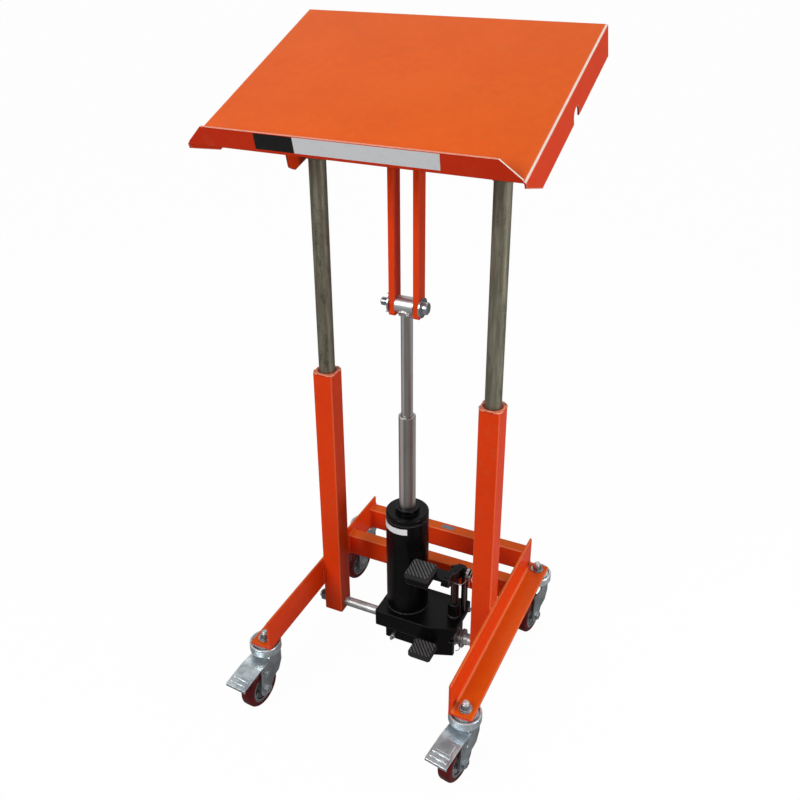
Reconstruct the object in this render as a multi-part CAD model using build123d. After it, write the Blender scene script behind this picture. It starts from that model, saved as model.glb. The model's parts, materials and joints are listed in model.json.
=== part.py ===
from build123d import *

import os
from math import cos, radians, sin, sqrt, tan

# Foot-pumped lift table: a tilting steel top on a two-tube mast, raised by a telescopic ram
# and rolled on four swivel castors. Millimetres. X to the right, Y to the back, Z up.
# The origin is on the floor, midway between the two mast posts. The top is stored fully
# raised and tilted half way, its lipped front edge down.

# ---------------------------------------------------------------- clearances
RUN_FIT = 0.05  # radial play of a shaft in its bore
SLIDE_FIT = 0.10  # radial play of the lift tubes in their bushes
SIDE_PLAY = 0.30  # gap between pieces that move past each other
LOOSE_FIT = 0.30  # radial play of a bolt in a hole of its own body

# ---------------------------------------------------------------- base frame
RIDE_HEIGHT = 147.0  # floor to the underside of the rails
RAIL_LEG = 75.0
RAIL_FLANGE = 50.0
RAIL_WALL = 5.0
RAIL_FRONT = -254.0
RAIL_BACK = 250.0
RAIL_ROOT_RADIUS = 6.0
RAIL_TOE_RADIUS = 2.5
POST_SPAN = 366.0  # centre to centre
POST_SIZE = 45.0
POST_WALL = 3.0
POST_CORNER = 4.0
POST_BOTTOM = 79.0
POST_TOP = 705.0
BUSH_LENGTH = 50.0
BEAM_DEPTH = 30.0
BEAM_HEIGHT = 55.0
BEAM_WALL = 3.0
BEAM_CORNER = 4.0
BEAM_BELOW_LEG = 20.0  # the beams' top under the rails' top
FRONT_BEAM_Y = 119.0
REAR_BEAM_Y = 233.0

# ---------------------------------------------------------------- castors
WHEEL_DIAMETER = 93.0
TYRE_WIDTH = 30.0
TYRE_BORE = 68.0
TYRE_SHOULDER = 8.0
HUB_BARREL = 26.0
HUB_WEB = 8.0
HUB_RIM_WALL = 4.5
HUB_STEP = 4.0  # run of the hub's sloping faces
WHEEL_BOLT = 10.0
WHEEL_BOLT_HEAD = 17.0
WHEEL_HEAD_HEIGHT = 6.5
WHEEL_NUT_HEIGHT = 8.0
WHEEL_BOLT_END = 3.0
TRAIL = 34.0
STEM_DIAMETER = 12.0
STEM_NUT = 19.0
STEM_NUT_HEIGHT = 12.0
STEM_WASHER = 28.0
STEM_END = 5.0  # thread beyond the nut
STEM_FROM_LEG = 27.5
FRONT_STEM_MARGIN = 22.0
REAR_STEM_MARGIN = 19.0
DISH_DIAMETER = 52.0
DISH_HEIGHT = 6.0
CROWN_DIAMETER = 68.0
CROWN_HEIGHT = 15.7
CROWN_ROUND = 3.5
RIM_HEIGHT = 4.8  # rolled rim that stands round the dish
RIM_WALL = 5.5
RIM_ROUND = 2.4
KING_HEAD_DIAMETER = 20.0
KING_HEAD_HEIGHT = 6.0
FORK_WALL = 4.0
FORK_SPREAD = 36.0  # between the fork's legs
FORK_EYE = 17.0
FORK_NECK_FRONT = 12.0  # the legs' heads, ahead of and behind the stem
FORK_NECK_BACK = 22.5
FORK_SHELF = 19.0  # crown's underside to the legs' front top
FORK_CORNER = 4.0
PEDAL_RIVET = 6.0
PEDAL_RIVET_HEAD = 10.0
PEDAL_RIVET_HEIGHT = 2.0
PEDAL_AHEAD = 31.0  # rivets ahead of the stem
PEDAL_UNDER_CROWN = 35.0  # rivets under the crown
PEDAL_RISE = 23.0  # rivets to the neck's top face
PEDAL_WALL = 2.5
PEDAL_EYE = 6.5
PEDAL_EAR = 30.0
PEDAL_TAIL = 16.0  # neck behind the rivets
PEDAL_CREASE = 21.0  # neck ahead of the rivets
PEDAL_TREAD = 57.0
PEDAL_SLOPE = 10.0
PEDAL_LIP = 7.0
PEDAL_RIDGE = 5.0
PEDAL_RIDGE_HEIGHT = 1.9
PEDAL_RIDGE_MARGIN = 6.0
PEDAL_RIDGES = (11.0, 22.0)  # from the tread's front edge
CASTORS = {
    "front_left": (-1, "front", 5.0),
    "front_right": (1, "front", 10.0),
    "rear_left": (-1, "rear", 8.0),
    "rear_right": (1, "rear", 8.0),
}

# ---------------------------------------------------------------- mast axle
AXLE_DIAMETER = 16.0
AXLE_HEIGHT = 97.0
AXLE_NUT = 24.0
AXLE_NUT_HEIGHT = 13.0
AXLE_END = 6.0  # thread beyond the nut
SPACER_DIAMETER = 21.3
WASHER_DIAMETER = 30.0
WASHER_WALL = 3.0
LARGE_WASHER = 40.0
DRUM_DIAMETER = 33.0
DRUM_WIDTH = 10.0
CONE_DIAMETER = 28.0

# ---------------------------------------------------------------- pump unit
BASE_TOP = 157.0
BASE_SLAB = 39.0
BASE_BOTTOM = 80.0
BASE_LEFT = -53.0
BASE_RIGHT = 134.0
BASE_FRONT = -61.0
BASE_BACK = 57.0
BASE_CUT_X = 82.0  # where the slanted front face starts
BASE_CUT_DEPTH = 18.0
BASE_CORNER = 4.0
BASE_NOSE = 4.0  # blunt corner at the right end of the slanted face
BASE_NOSE_DEPTH = 6.0
BASE_HEEL = 3.0  # cut across the back right corner
BASE_HEEL_DEPTH = 10.0
BASE_EDGE = 14.0  # height of the slab's right edge, above its slanted underside
BLOCK_LEFT = -34.0
BLOCK_RIGHT = 120.0
BLOCK_FRONT = -48.0
BLOCK_BACK = 44.0
FRONT_RIB = 8.0
FRONT_RIB_ROOT = 6.0
FRONT_RIB_MARGIN = 4.0
RESERVOIR_DIAMETER = 93.0
RESERVOIR_TOP = 395.0
CYLINDER_BORE = 40.0
CYLINDER_FLOOR = 134.0
CAP_HEIGHT = 15.0
CAP_ROUND = 4.0
CAP_GROOVE = 1.2
CAP_GROOVE_WIDTH = 3.0
GLAND_DIAMETER = 53.0
GLAND_HEIGHT = 12.0
PLUNGER_X = 114.0
PLUNGER_DIAMETER = 18.0
PLUNGER_BOTTOM = 139.0
PLUNGER_STROKE = 12.5
HOUSING_DIAMETER = 29.0
HOUSING_HEIGHT = 38.0
HOUSING_FOOT = 33.0
HOUSING_FOOT_HEIGHT = 5.0
RELIEF_CAP = 10.0
RELIEF_CAP_Y = 36.0
LEVER_PIVOT_Y = 30.0
LEVER_PIVOT_Z = 257.0
LEVER_RISE = 21.3
LEVER_WIDTH = 17.0
LEVER_DEPTH = 22.0
LEVER_UNDER_PIVOT = 9.0
LEVER_REACH = 97.0
LEVER_TAIL = 14.0
LEVER_CORNER = 5.0
LEVER_PIN = 12.0
LUG_WALL = 5.0
LUG_RADIUS = 12.0
LUG_FOOT = 30.0
LUG_BORE_REACH = 40.0
SPRING_WIRE = 2.5
SPRING_RADIUS = 10.25
SPRING_TURNS = 4
SPRING_LEG = 52.0  # from the pivot to the upper leg's bend
SPRING_HOOK = 4.0  # how far the bend reaches past the lever's middle
SPRING_GAP = 0.5  # between the lug and the coil
SPRING_BEND = 5.0
PAD_WIDTH = 54.0
PAD_DEPTH = 55.0
PAD_CENTRE_X = 62.0
PAD_CENTRE_Y = -66.5
PAD_TOP = 319.0
PAD_WALL = 12.0
PAD_OVERHANG = 3.0
PAD_RIB = 1.6
PAD_RIB_PITCH = 6.6
TRAY_HEIGHT = 16.0
TRAY_WALL = 3.0
CROSS_BAR_DEPTH = 30.0
CROSS_BAR_HEIGHT = 11.0
RELEASE_WIDTH = 52.0
RELEASE_DEPTH = 46.0
RELEASE_X = 76.5
RELEASE_Y = -88.0
RELEASE_HINGE_X = 62.0
RELEASE_TOP = 122.0
RELEASE_PIN_Y = -57.0
RELEASE_PIN_Z = 103.0
RELEASE_PIN = 6.0
RELEASE_LUG_WALL = 4.0
RELEASE_LUG_SPREAD = 26.0
RELEASE_LUG_ROOT = 22.0
RELEASE_ARM_WALL = 5.0
RELEASE_TAIL_BACK = 2.0
VALVE_PIN = 8.0
VALVE_PIN_LENGTH = 16.0
VALVE_BORE_DEPTH = 22.0
VALVE_PIN_Z = 90.0

# ---------------------------------------------------------------- ram and carriage
STAGE_DIAMETER = 35.5
STAGE_BORE = 26.0
STAGE_TOP = 643.0
STAGE_BOTTOM = 359.0
STAGE_FLOOR = 6.0
PISTON_HEIGHT = 14.0
ROD_DIAMETER = 24.0
ROD_BOTTOM = 587.0
ROD_HEAD_HEIGHT = 12.0
CROSSHEAD_Z = 886.0
CROSSHEAD_SLEEVE = 34.0
CROSSHEAD_PIN = 16.0
CROSSHEAD_PIN_REACH = 53.0  # of its tail, to the left
CROSSHEAD_WASHER = 40.0
CROSSHEAD_HEAD = 25.0
CROSSHEAD_HEAD_WIDTH = 11.0
SPLIT_PIN = 3.2
SPLIT_PIN_LENGTH = 26.0
BAR_WALL = 12.0
BAR_WIDTH = 29.0
BAR_GAP = 39.0  # between the two drop bars
BAR_BOTTOM = 865.0
BAR_CHAMFER = 3.0
TUBE_DIAMETER = 33.7
TUBE_WALL = 3.2
TUBE_BOTTOM = 555.0
SHOE_HEIGHT = 20.0
COLLAR_DIAMETER = 42.0
COLLAR_HEIGHT = 10.0
BRIDGE_BOTTOM = 1161.0
BRIDGE_SIZE = 40.0
BRIDGE_WALL = 3.0
BRIDGE_CORNER = 4.0
END_PLATE_WALL = 6.0
END_PLATE_RADIUS = 19.0
END_PLATE_MARGIN = 2.0
PIVOT_Z = 1250.7

# ---------------------------------------------------------------- tilting table
TILT = 22.5  # stored tilt, half of the full one
TABLE_WIDTH = 590.0
TABLE_DEPTH = 450.0
TABLE_WALL = 3.0
TABLE_ABOVE_PIVOT = 57.5
LIP_HEIGHT = 34.0
LIP_END_CUT = 38.0
SKIRT_DEPTH = 62.0
SKIRT_FRONT_DEPTH = 12.0
SKIRT_CUT_BACK = 67.0
NOTCH_Y = 26.0
NOTCH_WIDTH = 28.0
NOTCH_DEPTH = 24.0
TABLE_BEND = 5.0
CORNER_RELIEF = 4.0
SECTOR_WALL = 5.0
SECTOR_SLOT_RADIUS = 92.0
SECTOR_BACK_ANGLE = 7.5
TILT_HALF_RANGE = 22.5
SECTOR_FRONT = 78.0  # front and back ends under the top
SECTOR_BACK = 60.0
SECTOR_WAIST = 80.0
SECTOR_WAIST_DROP = 57.0
SECTOR_NOSE = 84.0
SECTOR_NOSE_DROP = 86.0
SECTOR_CHIN = 71.0
SECTOR_CHIN_DROP = 100.5
SECTOR_FOOT = 29.5
SECTOR_FOOT_DROP = 105.0
SECTOR_HEEL = 42.0
SECTOR_HEEL_DROP = 90.0
SECTOR_CORNER = 6.0
HINGE_LUG_FOOT = 90.0
HINGE_LUG_SEAM = 10.0
PIVOT_BOLT = 12.0
PIVOT_HEAD = 19.0
PIVOT_HEAD_HEIGHT = 8.0
CLAMP_STUD = 12.0
CLAMP_HUB = 26.0
CLAMP_HUB_WIDTH = 14.0
CLAMP_HANDLE = 10.0
CLAMP_REACH = 78.0
CLAMP_KNOB = 22.0
CLAMP_HANDLE_ANGLE = 78.0  # handle, back from straight up

# ---------------------------------------------------------------- sizes worked out
MAST_X = POST_SPAN / 2
RAIL_X = MAST_X + POST_SIZE / 2
FLANGE_TOP = RIDE_HEIGHT + RAIL_WALL
RAIL_TOP = RIDE_HEIGHT + RAIL_LEG
BEAM_TOP = RAIL_TOP - BEAM_BELOW_LEG
STEM_X = RAIL_X + STEM_FROM_LEG
STEM_Y = {"front": RAIL_FRONT + FRONT_STEM_MARGIN, "rear": RAIL_BACK - REAR_STEM_MARGIN}
WHEEL_RADIUS = WHEEL_DIAMETER / 2
CROWN_TOP = RIDE_HEIGHT - DISH_HEIGHT - SIDE_PLAY
CROWN_BOTTOM = CROWN_TOP - CROWN_HEIGHT
RIM_TOP = CROWN_TOP + RIM_HEIGHT
FORK_OUTER = FORK_SPREAD / 2 + FORK_WALL
PEDAL_RIVET_Z = CROWN_BOTTOM - PEDAL_UNDER_CROWN
CAP_TOP = RESERVOIR_TOP + CAP_HEIGHT
GLAND_TOP = CAP_TOP + GLAND_HEIGHT
HOUSING_TOP = BASE_TOP + HOUSING_HEIGHT
LUG_INNER = LEVER_WIDTH / 2 + SIDE_PLAY
LUG_OUTER = LUG_INNER + LUG_WALL
BAR_INNER = BAR_GAP / 2
BAR_OUTER = BAR_INNER + BAR_WALL
BRIDGE_TOP = BRIDGE_BOTTOM + BRIDGE_SIZE
BRIDGE_HALF = RAIL_X + 2.5  # the end plates pass outside the posts
PLATE_OUTER = BRIDGE_HALF + END_PLATE_WALL
SECTOR_INNER = PLATE_OUTER + SIDE_PLAY
SECTOR_OUTER = SECTOR_INNER + SECTOR_WALL
STUD_Y = SECTOR_SLOT_RADIUS * sin(radians(SECTOR_BACK_ANGLE))
STUD_Z = PIVOT_Z - SECTOR_SLOT_RADIUS * cos(radians(SECTOR_BACK_ANGLE))


# ---------------------------------------------------------------- helpers
def block(x_range, y_range, z_range):
    """A box between two values on each axis."""
    sizes = [high - low for low, high in (x_range, y_range, z_range)]
    middles = [(high + low) / 2 for low, high in (x_range, y_range, z_range)]
    return Pos(*middles) * Box(*sizes)


def upright(diameter, bottom, top, x=0.0, y=0.0):
    """A vertical cylinder."""
    return Pos(x, y, (bottom + top) / 2) * Cylinder(diameter / 2, top - bottom)


def across(diameter, left, right, y, z):
    """A cylinder that lies along X."""
    return Pos((left + right) / 2, y, z) * Rot(0, 90, 0) * Cylinder(diameter / 2, right - left)


def hexagon_across(flats, left, right, y, z):
    """A hexagonal prism that lies along X."""
    prism = extrude(RegularPolygon(flats / sqrt(3), 6), right - left)
    return Pos(left, y, z) * Rot(0, 90, 0) * prism


def hexagon_upright(flats, bottom, top, x, y):
    """A hexagonal prism that stands up."""
    return Pos(x, y, bottom) * extrude(RegularPolygon(flats / sqrt(3), 6), top - bottom)


def side_sheet(outline, left, right):
    """A flat sheet across X; the outline is drawn in Y and Z."""
    return extrude(Plane.YZ.offset(left) * outline, right - left)


def mirrored(shape):
    """The same piece on the other side of the mast."""
    return mirror(shape, about=Plane.YZ)


def square_tube(size_a, size_b, wall, corner, length):
    """A rounded box section along Z from the origin."""
    outer = RectangleRounded(size_a, size_b, corner)
    inner = RectangleRounded(size_a - 2 * wall, size_b - 2 * wall, max(corner - wall, 0.5))
    return extrude(outer - inner, length)


def washer_across(outer, bore, left, right, y, z):
    """A washer or sleeve on a rod along X."""
    return across(outer, left, right, y, z) - across(bore, left - 1, right + 1, y, z)


# ---------------------------------------------------------------- base frame
def rail_right():
    """Angle rail: its leg stands against the post, its flange points outwards."""
    corners = [
        (0, 0),
        (RAIL_FLANGE, 0),
        (RAIL_FLANGE, RAIL_WALL),
        (RAIL_WALL, RAIL_WALL),
        (RAIL_WALL, RAIL_LEG),
        (0, RAIL_LEG),
    ]
    section = make_face(Polyline(*corners, close=True))
    root = section.vertices().sort_by_distance((RAIL_WALL, RAIL_WALL, 0))[0]
    section = fillet(root, RAIL_ROOT_RADIUS)
    toes = [section.vertices().sort_by_distance((x, y, 0))[0] for x, y in (corners[2], corners[4])]
    section = fillet(toes, RAIL_TOE_RADIUS)
    plane = Plane(origin=(RAIL_X, RAIL_BACK, RIDE_HEIGHT), x_dir=(1, 0, 0), z_dir=(0, -1, 0))
    rail = extrude(plane * section, RAIL_BACK - RAIL_FRONT)
    for stem_y in STEM_Y.values():
        hole = upright(STEM_DIAMETER + 2 * LOOSE_FIT, RIDE_HEIGHT - 1, FLANGE_TOP + 1, STEM_X, stem_y)
        rail -= hole
    return rail


def cross_beam(beam_y):
    """Box section between the rails' legs."""
    tube = square_tube(BEAM_HEIGHT, BEAM_DEPTH, BEAM_WALL, BEAM_CORNER, 2 * RAIL_X)
    return Pos(-RAIL_X, beam_y, BEAM_TOP - BEAM_HEIGHT / 2) * Rot(0, 90, 0) * tube


def post_right():
    """Square mast post, welded inside the rail, with the cross hole for the axle."""
    tube = square_tube(POST_SIZE, POST_SIZE, POST_WALL, POST_CORNER, POST_TOP - POST_BOTTOM)
    post = Pos(MAST_X, 0, POST_BOTTOM) * tube
    hole = across(AXLE_DIAMETER + 2 * LOOSE_FIT, MAST_X - POST_SIZE, MAST_X + POST_SIZE, 0, AXLE_HEIGHT)
    return post - hole


def guide_bush(x):
    """Bronze guide pressed into the top of a post."""
    inside = POST_SIZE - 2 * POST_WALL
    body = extrude(RectangleRounded(inside, inside, max(POST_CORNER - POST_WALL, 0.5)), BUSH_LENGTH)
    bush = Pos(x, 0, POST_TOP - BUSH_LENGTH) * body
    return bush - upright(TUBE_DIAMETER + 2 * SLIDE_FIT, POST_TOP - BUSH_LENGTH - 1, POST_TOP + 1, x)


# ---------------------------------------------------------------- castors
def castor_place(side, end, yaw):
    """Location of a castor's swivel axis, its wheel trailing to the front."""
    return Pos(side * STEM_X, STEM_Y[end], 0) * Rot(0, 0, -yaw)


def castor_stem():
    """King bolt with its raceway dish, fixed to the rail's flange."""
    dish = upright(DISH_DIAMETER, RIDE_HEIGHT - DISH_HEIGHT, RIDE_HEIGHT)
    dish = chamfer(dish.edges().group_by(Axis.Z)[0], 2.0)
    head_top = CROWN_BOTTOM - SIDE_PLAY
    stem_top = FLANGE_TOP + WASHER_WALL + STEM_NUT_HEIGHT + STEM_END
    shank = upright(STEM_DIAMETER, head_top, stem_top)
    shank = chamfer(shank.edges().group_by(Axis.Z)[-1], 1.5)
    head = upright(KING_HEAD_DIAMETER, head_top - KING_HEAD_HEIGHT, head_top)
    head = fillet(head.edges().group_by(Axis.Z)[0], 2.0)
    return dish + shank + head


def castor_stem_nut():
    """Washer and lock nut over the flange, as one group for each stem."""
    bore = STEM_DIAMETER + 2 * LOOSE_FIT
    washer_top = FLANGE_TOP + WASHER_WALL
    nut_top = washer_top + STEM_NUT_HEIGHT
    washer = upright(STEM_WASHER, FLANGE_TOP, washer_top) - upright(bore, FLANGE_TOP - 1, washer_top + 1)
    cone = Cone(STEM_NUT * 0.62, STEM_NUT * 0.42, STEM_NUT_HEIGHT)
    nut = hexagon_upright(STEM_NUT, washer_top, nut_top, 0, 0)
    nut = nut & (Pos(0, 0, (washer_top + nut_top) / 2) * cone)
    nut -= upright(STEM_DIAMETER, washer_top - 1, nut_top + 1)
    return [washer, nut]


def castor_crown():
    """Round head of the fork: a cup whose rolled rim stands round the raceway dish."""
    crown = upright(CROWN_DIAMETER, CROWN_BOTTOM, RIM_TOP)
    crown = fillet(crown.edges().group_by(Axis.Z)[0], CROWN_ROUND)
    crown -= upright(CROWN_DIAMETER - 2 * RIM_WALL, CROWN_TOP, RIM_TOP + 1)
    return fillet(crown.edges().group_by(Axis.Z)[-1], RIM_ROUND)


def fork_leg_outline():
    """Side view of a fork leg: head under the crown, swept back, then forward to the wheel's eye."""
    shelf = CROWN_BOTTOM - FORK_SHELF
    corners = [
        (-FORK_NECK_FRONT, CROWN_BOTTOM + CROWN_ROUND),
        (FORK_NECK_BACK, CROWN_BOTTOM + CROWN_ROUND),
        (FORK_NECK_BACK, (CROWN_BOTTOM + WHEEL_RADIUS) / 2),
        (FORK_NECK_BACK / 2, WHEEL_RADIUS + FORK_EYE),
        (-TRAIL + FORK_EYE * 1.3, WHEEL_RADIUS + FORK_EYE / 2),
        (-TRAIL + FORK_EYE, WHEEL_RADIUS),
        (-TRAIL - FORK_EYE, WHEEL_RADIUS),
        (-TRAIL - FORK_EYE * 0.65, (shelf + WHEEL_RADIUS) / 2 + FORK_EYE),
        (-TRAIL - FORK_EYE * 0.6, shelf),
        (-FORK_NECK_FRONT, shelf),
    ]
    outline = make_face(Polyline(*corners, close=True))
    rounded = [outline.vertices().sort_by_distance((*corners[n], 0))[0] for n in (2, 3, 4, 8, 9)]
    return fillet(rounded, FORK_CORNER) + Pos(-TRAIL, WHEEL_RADIUS) * Circle(FORK_EYE)


def castor_fork(braked):
    """Pressed fork with its wheel bolt and, on a braked castor, the pedal's two rivets."""
    leg = side_sheet(fork_leg_outline(), FORK_SPREAD / 2, FORK_OUTER)
    fork = castor_crown() + leg + mirrored(leg)
    fork -= upright(STEM_DIAMETER + 2 * RUN_FIT, CROWN_BOTTOM - 1, CROWN_TOP + 1)
    fork -= across(WHEEL_BOLT, -FORK_OUTER - 1, FORK_OUTER + 1, -TRAIL, WHEEL_RADIUS)
    if braked:
        rivet = pedal_rivet()
        fork += rivet + mirrored(rivet)
    return [fork, wheel_bolt()]


def pedal_rivet():
    """Rivet on the right leg, long enough for the pedal's ear."""
    head_left = FORK_OUTER + 2 * SIDE_PLAY + PEDAL_WALL
    shank = across(PEDAL_RIVET, FORK_OUTER - 1, head_left, -PEDAL_AHEAD, PEDAL_RIVET_Z)
    head = across(
        PEDAL_RIVET_HEAD, head_left, head_left + PEDAL_RIVET_HEIGHT, -PEDAL_AHEAD, PEDAL_RIVET_Z
    )
    return shank + fillet(head.edges().group_by(Axis.X)[-1], PEDAL_RIVET_HEIGHT / 2)


def wheel_bolt():
    """Wheel bolt with its hexagon head and nut outside the fork's legs."""
    nut_left = -FORK_OUTER - WHEEL_NUT_HEIGHT
    bolt = across(WHEEL_BOLT, nut_left - WHEEL_BOLT_END, FORK_OUTER, -TRAIL, WHEEL_RADIUS)
    head = hexagon_across(
        WHEEL_BOLT_HEAD, FORK_OUTER, FORK_OUTER + WHEEL_HEAD_HEIGHT, -TRAIL, WHEEL_RADIUS
    )
    nut = hexagon_across(WHEEL_BOLT_HEAD, nut_left, -FORK_OUTER, -TRAIL, WHEEL_RADIUS)
    return bolt + head + nut


def wheel_hub():
    """Cast wheel centre: barrel, dished web and rim."""
    half_barrel = FORK_SPREAD / 2 - SIDE_PLAY
    half_rim = TYRE_WIDTH / 2 - 1.0
    bore = WHEEL_BOLT / 2 + RUN_FIT
    rim_outer = TYRE_BORE / 2
    rim_inner = rim_outer - HUB_RIM_WALL
    half_web = HUB_WEB / 2
    profile = [
        (bore, -half_barrel),
        (HUB_BARREL / 2, -half_barrel),
        (HUB_BARREL / 2 + HUB_STEP / 2, -half_web - HUB_STEP),
        (HUB_BARREL / 2 + HUB_STEP, -half_web),
        (rim_inner - HUB_STEP, -half_web),
        (rim_inner, -half_web - HUB_STEP),
        (rim_inner, -half_rim),
        (rim_outer, -half_rim),
    ]
    other_side = [(radius, -along) for radius, along in reversed(profile)]
    face = Plane.XZ * make_face(Polyline(*profile, *other_side, close=True))
    hub = revolve(face, Axis.Z)
    return Pos(0, -TRAIL, WHEEL_RADIUS) * Rot(0, 90, 0) * hub


def wheel_tyre():
    """Moulded tyre with rounded shoulders."""
    tyre = Cylinder(WHEEL_RADIUS, TYRE_WIDTH)
    tyre = fillet(tyre.edges().filter_by(GeomType.CIRCLE), TYRE_SHOULDER)
    tyre -= Cylinder(TYRE_BORE / 2, TYRE_WIDTH + 2)
    return Pos(0, -TRAIL, WHEEL_RADIUS) * Rot(0, 90, 0) * tyre


def pedal_tread(half):
    """Sloping tread with two pressed ridges and a folded lip, its origin on the crease."""
    tread = block((-half, half), (-PEDAL_TREAD, 0), (-PEDAL_WALL, 0))
    lip = block((-half, half), (-PEDAL_TREAD, -PEDAL_TREAD + PEDAL_WALL), (-PEDAL_LIP, 0))
    tread += lip
    tread = fillet(tread.edges().filter_by(Axis.X).sort_by_distance((0, -PEDAL_TREAD, 0))[0], 1.5)
    half_ridge = half - PEDAL_RIDGE_MARGIN
    sunk = PEDAL_RIDGE / 2 - PEDAL_RIDGE_HEIGHT
    for from_front in PEDAL_RIDGES:
        ridge = across(PEDAL_RIDGE, -half_ridge, half_ridge, from_front - PEDAL_TREAD, -sunk)
        tread += ridge & block((-half, half), (-PEDAL_TREAD, 0), (-sunk, PEDAL_RIDGE))
    return tread


def brake_pedal():
    """Pressed pedal over the wheel: ears on the fork's rivets, level neck and sloping tread."""
    half = FORK_OUTER + SIDE_PLAY + PEDAL_WALL
    neck = block((-half, half), (-PEDAL_CREASE, PEDAL_TAIL), (PEDAL_RISE - PEDAL_WALL, PEDAL_RISE))
    foot = Pos(0, PEDAL_RISE - PEDAL_WALL) * Rectangle(PEDAL_EAR, PEDAL_WALL)
    ear_outline = make_hull([*Circle(PEDAL_EYE).edges(), *foot.edges()])
    ear = side_sheet(ear_outline, half - PEDAL_WALL, half)
    tread = Pos(0, -PEDAL_CREASE, PEDAL_RISE) * Rot(PEDAL_SLOPE, 0, 0) * pedal_tread(half)
    pedal = neck + tread + ear + mirrored(ear)
    pedal -= across(PEDAL_RIVET + 2 * RUN_FIT, -half - 1, half + 1, 0, 0)
    return Pos(0, -PEDAL_AHEAD, PEDAL_RIVET_Z) * pedal


# ---------------------------------------------------------------- mast axle
def mast_axle():
    """Round bar through both posts and the pump's base."""
    reach = RAIL_X + WASHER_WALL + AXLE_NUT_HEIGHT + AXLE_END
    axle = across(AXLE_DIAMETER, -reach, reach, 0, AXLE_HEIGHT)
    return chamfer(axle.edges().filter_by(GeomType.CIRCLE), 1.5)


def axle_end_fasteners():
    """Washer and nut outside each post."""
    bore = AXLE_DIAMETER + 2 * LOOSE_FIT
    washer_end = RAIL_X + WASHER_WALL
    nut_end = washer_end + AXLE_NUT_HEIGHT
    washer = washer_across(WASHER_DIAMETER, bore, RAIL_X, washer_end, 0, AXLE_HEIGHT)
    nut = hexagon_across(AXLE_NUT, washer_end, nut_end, 0, AXLE_HEIGHT)
    nut -= across(AXLE_DIAMETER, washer_end - 1, nut_end + 1, 0, AXLE_HEIGHT)
    return [washer, nut, mirrored(washer), mirrored(nut)]


def axle_spacer_tube():
    """Pipe that holds the pump off the left post."""
    post_face = -MAST_X + POST_SIZE / 2
    return washer_across(
        SPACER_DIAMETER, AXLE_DIAMETER + 2 * LOOSE_FIT, post_face, BLOCK_LEFT, 0, AXLE_HEIGHT
    )


def axle_sleeve_stack():
    """Large washers, drum and tapered bush between the pump's block and the right post."""
    bore = AXLE_DIAMETER + 2 * LOOSE_FIT
    post_face = MAST_X - POST_SIZE / 2
    first = BLOCK_RIGHT + WASHER_WALL
    second = first + DRUM_WIDTH
    third = second + WASHER_WALL
    inner_washer = washer_across(LARGE_WASHER, bore, BLOCK_RIGHT, first, 0, AXLE_HEIGHT)
    drum = washer_across(DRUM_DIAMETER, bore, first, second, 0, AXLE_HEIGHT)
    outer_washer = washer_across(LARGE_WASHER, bore, second, third, 0, AXLE_HEIGHT)
    taper = Cone(CONE_DIAMETER / 2, SPACER_DIAMETER / 2, post_face - third)
    taper = Pos((third + post_face) / 2, 0, AXLE_HEIGHT) * Rot(0, 90, 0) * taper
    taper -= across(bore, third - 1, post_face + 1, 0, AXLE_HEIGHT)
    return [inner_washer, drum, outer_washer, taper]


# ---------------------------------------------------------------- pump unit
def pump_base():
    """Cast base: a broad slab over a narrower block, with a slanted rib at the front."""
    cut_y = BASE_FRONT + BASE_CUT_DEPTH
    slab_outline = [
        (BASE_LEFT, BASE_FRONT),
        (BASE_CUT_X, BASE_FRONT),
        (BASE_RIGHT - BASE_NOSE, cut_y),
        (BASE_RIGHT, cut_y + BASE_NOSE_DEPTH),
        (BASE_RIGHT, BASE_BACK - BASE_HEEL_DEPTH),
        (BASE_RIGHT - BASE_HEEL, BASE_BACK),
        (BASE_LEFT, BASE_BACK),
    ]
    slab = extrude(
        Pos(0, 0, BASE_TOP - BASE_SLAB) * make_face(Polyline(*slab_outline, close=True)), BASE_SLAB
    )
    slab = fillet(slab.edges().filter_by(Axis.Z), BASE_CORNER)
    slab = fillet(slab.edges().group_by(Axis.Z)[-1], 1.5)
    body = block((BLOCK_LEFT, BLOCK_RIGHT), (BLOCK_FRONT, BLOCK_BACK), (BASE_BOTTOM, BASE_TOP - BASE_SLAB))
    body = fillet(body.edges().filter_by(Axis.Z), BASE_CORNER)
    slope = BASE_CUT_DEPTH / (BASE_RIGHT - BASE_NOSE - BASE_CUT_X)
    rib_end = BASE_RIGHT - FRONT_RIB_MARGIN
    rib_end_y = BASE_FRONT + slope * (rib_end - BASE_CUT_X)
    rib_outline = [
        (BASE_CUT_X, BASE_FRONT),
        (rib_end, rib_end_y),
        (rib_end, rib_end_y + FRONT_RIB),
        (BASE_CUT_X, BASE_FRONT + FRONT_RIB + FRONT_RIB_ROOT),
    ]
    rib = extrude(
        Pos(0, 0, BASE_BOTTOM) * make_face(Polyline(*rib_outline, close=True)),
        BASE_TOP - BASE_SLAB - BASE_BOTTOM,
    )
    base = slab - slab_underside() + body + rib
    base -= upright(CYLINDER_BORE, CYLINDER_FLOOR, BASE_TOP + 1)
    base -= upright(
        PLUNGER_DIAMETER + 2 * RUN_FIT, PLUNGER_BOTTOM - PLUNGER_STROKE - 1, BASE_TOP + 1, PLUNGER_X
    )
    base -= across(AXLE_DIAMETER + 2 * LOOSE_FIT, BLOCK_LEFT - 1, BLOCK_RIGHT + 1, 0, AXLE_HEIGHT)
    base -= valve_bore()
    return base


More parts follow.
